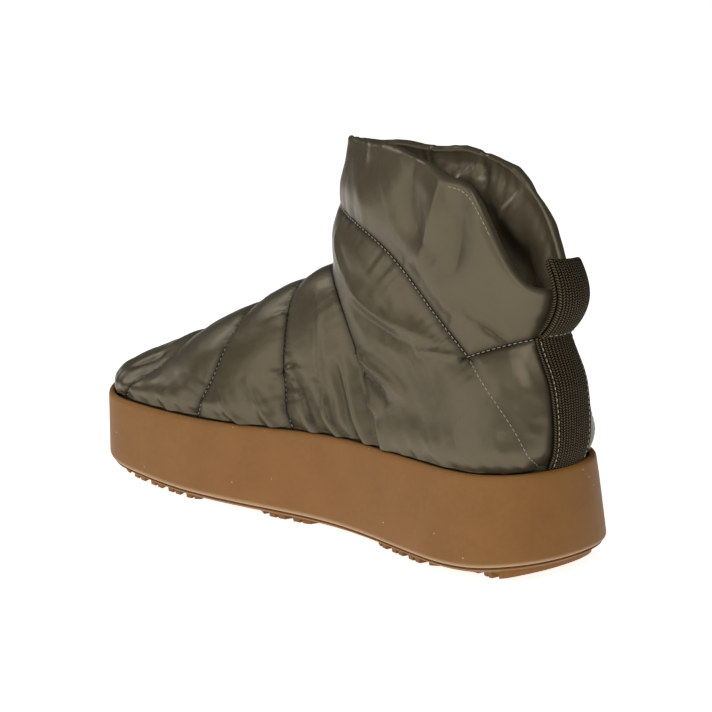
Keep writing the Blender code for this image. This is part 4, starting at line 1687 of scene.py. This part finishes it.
    def refined(self, swell: Array, columns: Array, rows: Array, around: Array, level: Array) -> Array:
        """Reads a coarse grid of pushes smoothly at the fine grid's columns and rows."""
        within = np.clip(level, rows[0], rows[-1])
        upright = swell.transpose(1, 2, 0).reshape(-1, len(rows))
        tall = np.array([natural_spline(rows, line, within) for line in upright])
        level_lines = tall.reshape(len(columns), 3, len(level)).transpose(2, 1, 0).reshape(-1, len(columns))
        wide = np.array([natural_spline(columns, line, around) for line in level_lines])
        return wide.reshape(len(level), 3, len(around)).transpose(0, 2, 1)

    def hem_reading(self, form: Array) -> Reading:
        """Distances from the collar's hem seam, up the cloth, and along the collar."""
        rise = np.linalg.norm(np.diff(form, axis=0), axis=-1)
        below_edge = np.concatenate([np.cumsum(rise[::-1], axis=0)[::-1], np.zeros((1, form.shape[1]))])
        along = np.broadcast_to(run_along(form[-1]), below_edge.shape)
        return Reading(self.hem_width - below_edge, along, along / along.max())

    def valleys(self, readings: dict[str, Reading], puff: Array) -> Array:
        """How far the cloth is pulled in by the seams, from a height between them."""
        pulls = []
        wide_share, sharp_share, deep_share = self.seam_shares
        for seam in self.seams:
            reading = readings[seam.name]
            depth = seam.depth(reading.share)
            wide = bell(reading.aside, self.seam_reach)
            sharp = np.exp(-np.abs(reading.aside) / self.seam_pinch)
            pull = (depth + puff) * (wide_share * wide + sharp_share * sharp)
            pulls.append(pull + deep_share * depth * sharp**2)
        return np.max(pulls, axis=0)

    def seam_shade(self, readings: dict[str, Reading]) -> tuple[Array, Array]:
        """Distances from the nearest seam that shows as a painted shadow line, and the painted shade in the
        seams.
        """
        lines = []
        shades = []
        for seam in self.seams:
            reading = readings[seam.name]
            depth = seam.depth(reading.share)
            faint = np.clip(1 - depth / self.faint_depth, 0, 1)
            lines.append(np.abs(reading.aside) + self.faint_offset * faint)
            shades.append(self.seam_dark * depth * bell(reading.aside, self.seam_dark_width))
        return np.min(lines, axis=0), np.max(shades, axis=0)

    def puckers(self, readings: dict[str, Reading], around: Array) -> Array:
        """Small gathers beside each seam, different on each flank and on each side of the boot."""
        total = np.zeros(around.shape)
        for number, seam in enumerate(self.seams):
            reading = readings[seam.name]
            reach = np.abs(reading.aside) / self.pucker_reach
            stand = reach * np.exp(1 - reach)
            for flank in (1, -1):
                for side in Side:
                    seed = number * 8 + flank * 2 + int(side.value)
                    here = (reading.aside * flank >= 0) & (np.sin(around) * side.value >= 0)
                    gather = ripple(reading.along, 40 + seed, *self.pucker_waves)
                    patches = ripple(reading.along, 90 + seed, *self.pucker_patches)
                    patchy = np.clip(patches + self.pucker_cover, 0, 1)
                    total = total + np.where(here, seam.pucker * stand * gather * patchy, 0)
        return total

    def folds(self, form: Array, normals: Array, around: Array) -> tuple[Array, Array]:
        """Heights and painted shade of the main creases; on the lateral side they stand less high and their
        painted shade is paler.
        """
        total = np.zeros(around.shape)
        shade = np.zeros(around.shape)
        for side in Side:
            here = np.sin(around) * side.value >= 0
            moved = self.moved(form, side)
            strength = 1.0 if side is Side.MEDIAL else self.lateral_share
            for crease in self.creases:
                reading, ends = crease.read(moved, normals)
                total = total + np.where(here, strength * ends * crease.profile(reading.aside), 0)
                # Painted shade of the crease
                shade = np.maximum(shade, np.where(here, strength * ends * crease.shade(reading.aside), 0))
        return total, shade

    def under_strap(self, form: Array, height: Array) -> Array:
        """Presses the cloth flat where the heel strap lies on it."""
        pressed = np.minimum(height, self.puff - self.strap_press)
        return height + (pressed - height) * self.strapped(form)

    def lining(self) -> tuple[Array, Array]:
        """The inner face from the collar down to the feather edge, and the painted shade of its folds."""
        levels = np.linspace(self.collar_level, 0, self.lining_steps)
        around, level = np.meshgrid(self.columns(self.around_steps), levels)
        form = self.form.points(around, level)
        normals = self.form.normals(around, level)
        below_edge = self.hem_width - self.hem_reading(form[::-1]).aside[::-1]
        slack = np.clip(below_edge / self.lining_slack_reach, 0, 1)
        run = np.linspace(0, self.lining_run, self.around_steps)
        gathers = self.lining_gather * ripple(run + self.lining_lean * below_edge, *self.lining_waves)
        middle, width = self.lining_swell_band
        swell = self.lining_swell * bell(below_edge - middle, width)
        clouds = sum(cloud.over(form) for cloud in self.lining_clouds)
        hem = -self.lining_hem_pull * np.exp(-np.abs(below_edge - self.lining_hem) / self.lining_hem_pinch)
        middle, width = self.lining_hem_band
        gathered = self.lining_hem_gather * ripple(run, *self.lining_hem_waves)
        hem = hem + gathered * bell(below_edge - middle, width)
        clouds = clouds + self.lining_wrinkle * self.wrinkles(form, *self.lining_wrinkle_set)
        shade = np.zeros(form.shape[:-1])
        depth = self.wall + slack * (self.lining_slack + gathers + swell + clouds) + hem
        # Folds of the lining, with their painted shade
        for crease in self.lining_creases:
            reading, ends = crease.read(form, normals)
            depth = depth + ends * crease.profile(reading.aside)
            shade = np.maximum(shade, ends * crease.shade(reading.aside))
        inner = form - np.maximum(depth, self.least_wall)[..., None] * normals
        return self.kept_open(form, inner), shade

    def kept_open(self, form: Array, inner: Array) -> Array:
        """Stops the inner face from crossing the middle where the collar narrows to its front."""
        middle = (form[..., 1] + form[:, ::-1, 1]) / 2
        half = (form[..., 1] - form[:, ::-1, 1]) / 2
        side = np.sign(half)
        least = np.minimum(self.open_half, np.abs(half) * self.open_share)
        reach = np.maximum((inner[..., 1] - middle) * side, least)
        held = inner.copy()
        held[..., 1] = middle + side * reach
        return held

    def shell(self, skin: Skin) -> Piece:
        """One closed wall: outer face, rolled collar, lining, and the feather edge between them."""
        inner, inner_shade = self.lining()
        edge = skin.points[-1]
        upward = unit(skin.points[-1] - skin.points[-3])
        middle = (edge + inner[0]) / 2
        half = (edge - inner[0]) / 2
        tall = np.linalg.norm(half, axis=-1, keepdims=True)
        turns = np.linspace(0, math.pi, self.roll_steps + 2)[1:-1]
        roll = [middle + half * math.cos(turn) + upward * tall * math.sin(turn) for turn in turns]
        points = np.concatenate([skin.points, np.array(roll), inner, skin.points[:1]])
        seam = np.full(points.shape[:2], self.no_seam)
        seam[: len(skin.seam)] = skin.seam
        shade = np.zeros(points.shape[:2])
        shade[: len(skin.shade)] = skin.shade
        shade[len(skin.shade) + self.roll_steps : -1] = inner_shade
        inside = np.zeros(points.shape[:2])
        inside[len(skin.seam) + self.roll_steps : -1] = 1.0
        shell = Bench.sheet("quilted_shell", points)
        # fold_shade and the seam distances in seam_mm carry the painted shade; inside marks the lining
        for name, values in (("seam_mm", seam), ("fold_shade", shade), ("inside", inside)):
            Bench.mark(shell, name, np.concatenate([values, values[:, :1]], axis=1))
        Bench.weld(shell)
        Bench.smooth(shell, 80)
        return shell

    def stitching(self, skin: Skin) -> Piece:
        """All stitches of the quilting seams and of the hem as one mesh."""
        lifts = {seam.name: seam.stitch_lift for seam in self.seams}
        lifts["hem"] = self.hem_lift
        frames = []
        for name, lift in lifts.items():
            for side in Side:
                path, normals = self.seam_path(skin, skin.readings[name], side)
                if name == "hem":
                    sewn = (path[:, 0] > self.hem_stretch[0]) & (path[:, 0] < self.hem_stretch[1])
                    path, normals = path[sewn], normals[sewn]
                if len(path) > self.fewest_points:
                    frames.append(stitch_frames(path, normals, self.stitch_pitch, lift))
        return Bench.copies("quilting_stitches", stitch_pattern(*self.stitch_size), np.concatenate(frames))

    def seam_path(self, skin: Skin, reading: Reading, side: Side) -> tuple[Array, Array]:
        """Points and normals where a seam crosses the outer face on one side, in order along the seam."""
        on_side = np.sign(skin.normals[..., 1]) == side.value
        first, last = self.seam_ends
        found = []
        for axis in (0, 1):
            pairs = [(a, np.roll(a, -1, axis=axis)) for a in (reading.aside, reading.along, on_side)]
            (aside, next_aside), (along, next_along), (here, there) = pairs
            close = np.abs(aside - next_aside) < self.crossing_reach
            crossed = (aside * next_aside <= 0) & close & here & there
            crossed &= (reading.share > first) & (reading.share < last)
            if axis == 0:
                crossed[-1] = False
            share = (aside / (aside - next_aside + 1e-12))[crossed]
            next_point = np.roll(skin.points, -1, axis=axis)
            next_normal = np.roll(skin.normals, -1, axis=axis)
            place = skin.points[crossed] + share[:, None] * (next_point - skin.points)[crossed]
            normal = skin.normals[crossed] + share[:, None] * (next_normal - skin.normals)[crossed]
            order = along[crossed] + share * (next_along - along)[crossed]
            found.append(np.concatenate([order[:, None], place, normal], axis=1))
        rows = np.concatenate(found)
        rows = rows[np.argsort(rows[:, 0])]
        rows = rows[self.rim_gap(rows[:, 1:4]) > self.stitch_foot]
        return rows[:, 1:4], rows[:, 4:7]


def stitch_pattern(length: float, thickness: float, fullness: float = 1.35, dip: float = 0.35) -> Piece:
    """One stitch round the origin: a slim bead that lies along X, its ends dipping into the cloth."""
    Bench.clear()
    bpy.ops.mesh.primitive_uv_sphere_add(segments=6, ring_count=6, radius=1.0)
    bead = Bench.taken("stitch")
    shape = Bench.coordinates(bead)
    along = shape[:, 2]
    round_share = np.sqrt(np.clip(1 - along**2, 0, 1))
    full = np.clip(round_share * fullness, 0, 1) / np.maximum(round_share, 1e-6)
    sides = [shape[:, axis] * full * thickness / 2 for axis in (0, 1)]
    bent = np.stack([along * length / 2, *sides], axis=1)
    bent[:, 2] -= dip * thickness * along**2
    bead.data.vertices.foreach_set("co", bent.ravel())
    return bead


def evened(values: Array, reach: int = 3) -> Array:
    """One column of values, each replaced by the mean of its neighbours."""
    count = 2 * reach + 1
    return np.convolve(np.pad(values, reach, mode="edge"), np.ones(count) / count, mode="valid")


def stitch_frames(
    path: Array, normals: Array, pitch: float, lift: float, step: float = 0.8, reach: float = 0.6
) -> Array:
    """Places and axes of stitches along a path.

    Args:
        path: Points of the path in order.
        normals: The surface's normals there.
        pitch: Distance from stitch to stitch.
        lift: How far a stitch stands off the surface.
        step: Distance between the path's evened points.
        reach: How far before and after a stitch its direction is read.

    Returns:
        One row for each stitch: its place and its three axes.
    """
    run = run_along(path)
    keep = np.concatenate([[True], np.diff(run) > 1e-4])
    run = run[keep]
    even = np.arange(0, run[-1], step)
    line, out = (
        np.apply_along_axis(evened, 0, read_along(even, run, values[keep])) for values in (path, normals)
    )
    length = run_along(line)
    at = np.arange(pitch / 2, length[-1], pitch)
    place = read_along(at, length, line)
    forward = unit(read_along(at + reach, length, line) - read_along(at - reach, length, line))
    across = unit(np.cross(read_along(at, length, out), forward))
    up = np.cross(forward, across)
    return np.stack([place + lift * up, forward, across, up], axis=1)


@dataclass
class HeelWebbing:
    """The strip of webbing up the heel and the loop folded from the same webbing above it."""

    form: UpperForm
    cell: float = 0.7
    edge_radius: float = 0.9
    strap_width: float = 22.4
    strap_thickness: float = 1.6
    strap_low: float = 1.09
    strap_high: float = 10.62
    strap_gap: float = 1.1
    strap_stitch: float = 9.0
    loop_width: float = 19.0
    loop_thickness: float = 1.5
    loop_cup: tuple[float, float] = (14.0, 22.0)
    loop_tilt: tuple[float, float] = (0.4, 1.1)
    loop_stitch: tuple[float, float] = (-2.0, 0.8)
    loop_foot_spread: float = 1.1
    loop_spread: float = 1.5
    loop_spread_power: float = 0.7
    loop_steps: int = 200
    edge_thickness: float = 0.5
    stitch_pitch: float = 2.4
    stitch_lift: float = 0.12
    stitch_size: tuple[float, float] = (1.5, 0.36)
    loop_spine: tuple[tuple[float, float], ...] = (
        (8.5, 104.4),
        (5.7, 107.6),
        (2.7, 112.4),
        (1.0, 117.0),
        (0.6, 121.2),
        (1.5, 125.6),
        (3.4, 130.2),
        (5.5, 134.0),
    )

    def build(self) -> None:
        """Models and dresses the strip, the loop and their stitches."""
        strap, rails = self.strap()
        webbing = WovenWebbing().material()
        finished(strap, webbing, ["heel_strap"])
        loop, base = self.loop()
        finished(loop, webbing, ["pull_loop"])
        frames = [stitch_frames(*path, self.stitch_pitch, self.stitch_lift) for path in [*rails, base]]
        pattern = stitch_pattern(*self.stitch_size)
        stitches = Bench.copies("webbing_stitches", pattern, np.concatenate(frames))
        finished(stitches, SewingThread(name="webbing_thread").material())

    def across(self, width: float) -> Array:
        """Distances of a row's points from the middle of a band, closest at its rounded edges."""
        edge = self.edge_radius * (1 - np.cos(np.linspace(0, math.pi / 2, 5)))
        flat = width / 2 - self.edge_radius
        inner = np.linspace(-flat, flat, int(width / self.cell))
        return np.concatenate([edge[:-1] - width / 2, inner, width / 2 - edge[-2::-1]])

    def edge_round(self, offsets: Array, width: float) -> Array:
        """How far a band's face falls off towards its rounded edges, from 0 to 1."""
        inside = np.clip((width / 2 - np.abs(offsets)) / self.edge_radius, 0, 1)
        return np.sqrt(1 - (1 - inside) ** 2)

    @staticmethod
    def band(name: str, inner: Array, outer: Array, across: Array, along: Array, closed: bool) -> Piece:
        """A band with two faces and closed edges.

        Args:
            name: Name of the piece.
            inner: Rows of points across the face that lies against the boot.
            outer: Rows of points across the other face.
            across: Distances of a row's points across the band.
            along: Distances of the rows along the band.
            closed: Whether the last row joins the first.

        Returns:
            The piece.
        """
        points = np.concatenate([outer, inner[:, ::-1]], axis=1)
        if closed:
            points = np.concatenate([points, points[:1]])
            along = np.append(along, 2 * along[-1] - along[-2])
        piece = Bench.sheet(name, points)
        width = np.concatenate([across, across[::-1], across[:1]])
        Bench.mark(piece, "across_mm", np.broadcast_to(width, (len(along), len(width))))
        Bench.mark(piece, "along_mm", np.broadcast_to(along[:, None], (len(along), len(width))))
        Bench.weld(piece)
        if not closed:
            Bench.close_ends(piece, bpy.ops.mesh.edge_face_add)
        Bench.smooth(piece, 60)
        return piece

    def strap(self) -> tuple[Piece, list[tuple[Array, Array]]]:
        """The strip, and the paths of the two rows of stitches along its edges."""
        offsets = self.across(self.strap_width)
        coarse = np.linspace(self.strap_low, self.strap_high, 40)
        middle = np.concatenate([self.form.heel_strip(np.zeros(1), level, np.zeros(1)) for level in coarse])
        run = run_along(middle)
        rows = np.arange(0, run[-1], self.cell)
        levels = np.interp(rows, run, coarse)
        rim = self.edge_round(offsets, self.strap_width)
        top = self.strap_gap + self.edge_thickness + (self.strap_thickness - self.edge_thickness) * rim
        low = np.full(offsets.shape, self.strap_gap)
        outer = np.array([self.form.heel_strip(offsets, level, top) for level in levels])
        inner = np.array([self.form.heel_strip(offsets, level, low) for level in levels])
        piece = self.band("heel_webbing", inner, outer, offsets, rows, closed=False)
        rails = []
        for offset in (-self.strap_stitch, self.strap_stitch):
            at = np.array([offset])
            lift = np.full(1, self.strap_gap + self.strap_thickness)
            high = np.concatenate([self.form.heel_strip(at, level, lift) for level in levels])
            low = np.concatenate([self.form.heel_strip(at, level, lift - 1.0) for level in levels])
            rails.append((high, high - low))
        return piece, rails

    def loop_line(self) -> tuple[Array, Array, Array, Array]:
        """The loop's middle line at even steps, up its front layer and down its outer one.

        Returns:
            Places along X and Z, and the line's direction along X and Z.
        """
        spine, at = through(self.loop_spine, self.loop_steps)
        ahead = unit(np.gradient(spine, axis=0))
        front = np.stack([ahead[:, 1], -ahead[:, 0]], axis=1)
        share = np.sin(math.pi * at / at[-1]) ** self.loop_spread_power
        spread = (self.loop_foot_spread + (self.loop_spread - self.loop_foot_spread) * share)[:, None]
        turn = np.linspace(0, math.pi, 24)[1:-1, None]
        top = spine[-1] + spread[-1] * (np.cos(turn) * front[-1] + np.sin(turn) * ahead[-1])
        foot = spine[0] - spread[0] * (np.cos(turn) * front[0] + np.sin(turn) * ahead[0])
        line = np.concatenate([spine + spread * front, top, (spine - spread * front)[::-1], foot])
        line = np.concatenate([line, line[:1]])
        run = run_along(line)
        even = np.linspace(0, run[-1], int(run[-1] / (0.5 * self.cell)), endpoint=False)
        x, z = read_along(even, run, line).T
        run_x = np.roll(x, -1) - np.roll(x, 1)
        run_z = np.roll(z, -1) - np.roll(z, 1)
        length = np.hypot(run_x, run_z)
        return x, z, run_x / length, run_z / length

    def loop(self) -> tuple[Piece, tuple[Array, Array]]:
        """The loop, cupped round the ankle, and the path of the stitches across its foot."""
        x, z, run_x, run_z = self.loop_line()
        side = self.across(self.loop_width)
        up = np.clip((z - z.min()) / (z.max() - z.min()), 0, 1)[:, None]
        low_cup, high_cup = self.loop_cup
        lift, tilt = self.loop_tilt
        cup = side**2 / (2 * (low_cup + (high_cup - low_cup) * up))
        tilted = up**2 * (lift + tilt * side / side.max())
        rim = self.edge_round(side, self.loop_width)
        half = self.edge_thickness / 2 + (self.loop_thickness - self.edge_thickness) / 2 * rim
        faces = []
        for way in (-1.0, 1.0):
            face_x = x[:, None] - way * half * run_z[:, None] + cup
            face_z = z[:, None] + way * half * run_x[:, None] + tilted
            faces.append(np.stack([face_x, np.broadcast_to(side, cup.shape), face_z], axis=-1))
        along = np.arange(len(x)) * 0.5 * self.cell
        piece = self.band("pull_loop_webbing", faces[0], faces[1], side, along, closed=True)
        foot_x, foot_z = self.loop_spine[0]
        seam_x, seam_z = self.loop_stitch
        foot = int(np.argmin(np.hypot(x - foot_x - seam_x, z - foot_z - seam_z)))
        across = slice(4, -4)
        way = np.array([-run_z[foot], 0.0, run_x[foot]])
        outer = faces[0] if way[0] > 0 else faces[1]
        normal = -way if way[0] > 0 else way
        path = outer[foot, across]
        return piece, (path, np.broadcast_to(normal, path.shape))


@dataclass
class Footbed:
    """The removable footbed, whose CAD solid shows as it is."""

    node: str = "insole"

    def dress(self, frame: dict[str, object]) -> None:
        """Gives the CAD solid its cloth."""
        solid = frame["nodes"][self.node]
        solid.data.materials.clear()
        solid.data.materials.append(FootbedCloth().material())
        LOG.info("%s: dressed", self.node)


@dataclass(frozen=True)
class Lamp:
    """A soft square light: where it stands, in metres, its size and its power."""

    name: str
    place: tuple[float, float, float]
    size: float
    watts: float


@dataclass
class Studio:
    """A pale floor, soft light from all round, and the camera behind the medial side."""

    azimuth: float = 225.0
    elevation: float = 15.0
    distance: float = 1.3
    look: tuple[float, float, float] = (-0.0013, 0.00157, 0.0717)
    image_width: float = 712.0
    focal_pixels: float = 2929.0
    sensor: float = 36.0
    floor_size: float = 9.0
    wall_light: float = 0.06
    roof_light: float = 0.08
    roof_fade: tuple[float, float] = (0.1, 0.8)
    light_target: tuple[float, float, float] = (0.0, 0.0, 0.08)
    lamps: tuple[Lamp, ...] = (
        Lamp("medial_box", (0.35, 1.6, 0.45), 1.4, 9.0),
        Lamp("front_box", (1.4, 0.3, 1.2), 0.8, 6.0),
        Lamp("camera_box", (-1.1, 0.95, 1.5), 1.5, 17.0),
    )

    def build(self) -> None:
        """Sets up floor, light and camera."""
        self.floor()
        self.light()
        self.camera()
        bpy.context.scene.view_settings.view_transform = "Standard"

    def floor(self) -> None:
        """The flat floor."""
        Bench.clear()
        bpy.ops.mesh.primitive_grid_add(x_subdivisions=24, y_subdivisions=24, size=self.floor_size)
        floor = Bench.taken("studio_floor")
        floor.data.materials.append(PaleFloor().material())

    def light(self) -> None:
        """Dim walls all round under a slightly lighter roof, and the soft boxes."""
        world = bpy.data.worlds.new("soft_room")
        world.use_nodes = True
        tree = world.node_tree
        background = tree.nodes["Background"]
        background.inputs["Color"].default_value = (1.0, 1.0, 1.0, 1.0)
        place = tree.nodes.new("ShaderNodeTexCoord")
        parts = tree.nodes.new("ShaderNodeSeparateXYZ")
        fade = tree.nodes.new("ShaderNodeMapRange")
        fade.interpolation_type = "SMOOTHSTEP"
        names = ("From Min", "From Max", "To Min", "To Max")
        for name, value in zip(names, (*self.roof_fade, self.wall_light, self.roof_light)):
            fade.inputs[name].default_value = value
        tree.links.new(place.outputs["Generated"], parts.inputs[0])
        tree.links.new(parts.outputs["Z"], fade.inputs["Value"])
        tree.links.new(fade.outputs[0], background.inputs["Strength"])
        bpy.context.scene.world = world
        for lamp in self.lamps:
            Bench.clear()
            bpy.ops.object.light_add(type="AREA", location=lamp.place)
            box = bpy.context.object
            box.name = lamp.name
            box.data.size = lamp.size
            box.data.energy = lamp.watts
            aim = Vector(self.light_target) - Vector(lamp.place)
            box.rotation_euler = aim.to_track_quat("-Z", "Y").to_euler()

    def camera(self) -> None:
        """The camera at the photograph's angle."""
        turn = math.radians(self.azimuth)
        tilt = math.radians(self.elevation)
        away = Vector((math.sin(turn) * math.cos(tilt), -math.cos(turn) * math.cos(tilt), math.sin(tilt)))
        Bench.clear()
        bpy.ops.object.camera_add(location=Vector(self.look) + away * self.distance)
        camera = bpy.context.object
        camera.rotation_euler = (-away).to_track_quat("-Z", "Y").to_euler()
        camera.data.sensor_width = self.sensor
        camera.data.lens = self.focal_pixels / self.image_width * self.sensor
        bpy.context.scene.camera = camera


def corners(bounds: Sequence[Vector]) -> list[list[float]]:
    """A box's two corners as plain numbers."""
    return [[float(value) for value in corner] for corner in bounds]


def main() -> None:
    """Builds the boot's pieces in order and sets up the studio."""
    logging.basicConfig(level=logging.INFO, format="%(name)s: %(message)s")
    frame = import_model()
    sole = SoleForm()
    upper = UpperForm(sole)
    PlatformSole(sole).build()
    Footbed().dress(frame)
    QuiltedUpper(upper).build()
    HeelWebbing(upper).build()
    Studio().build()


if __name__ == "__main__":
    main()
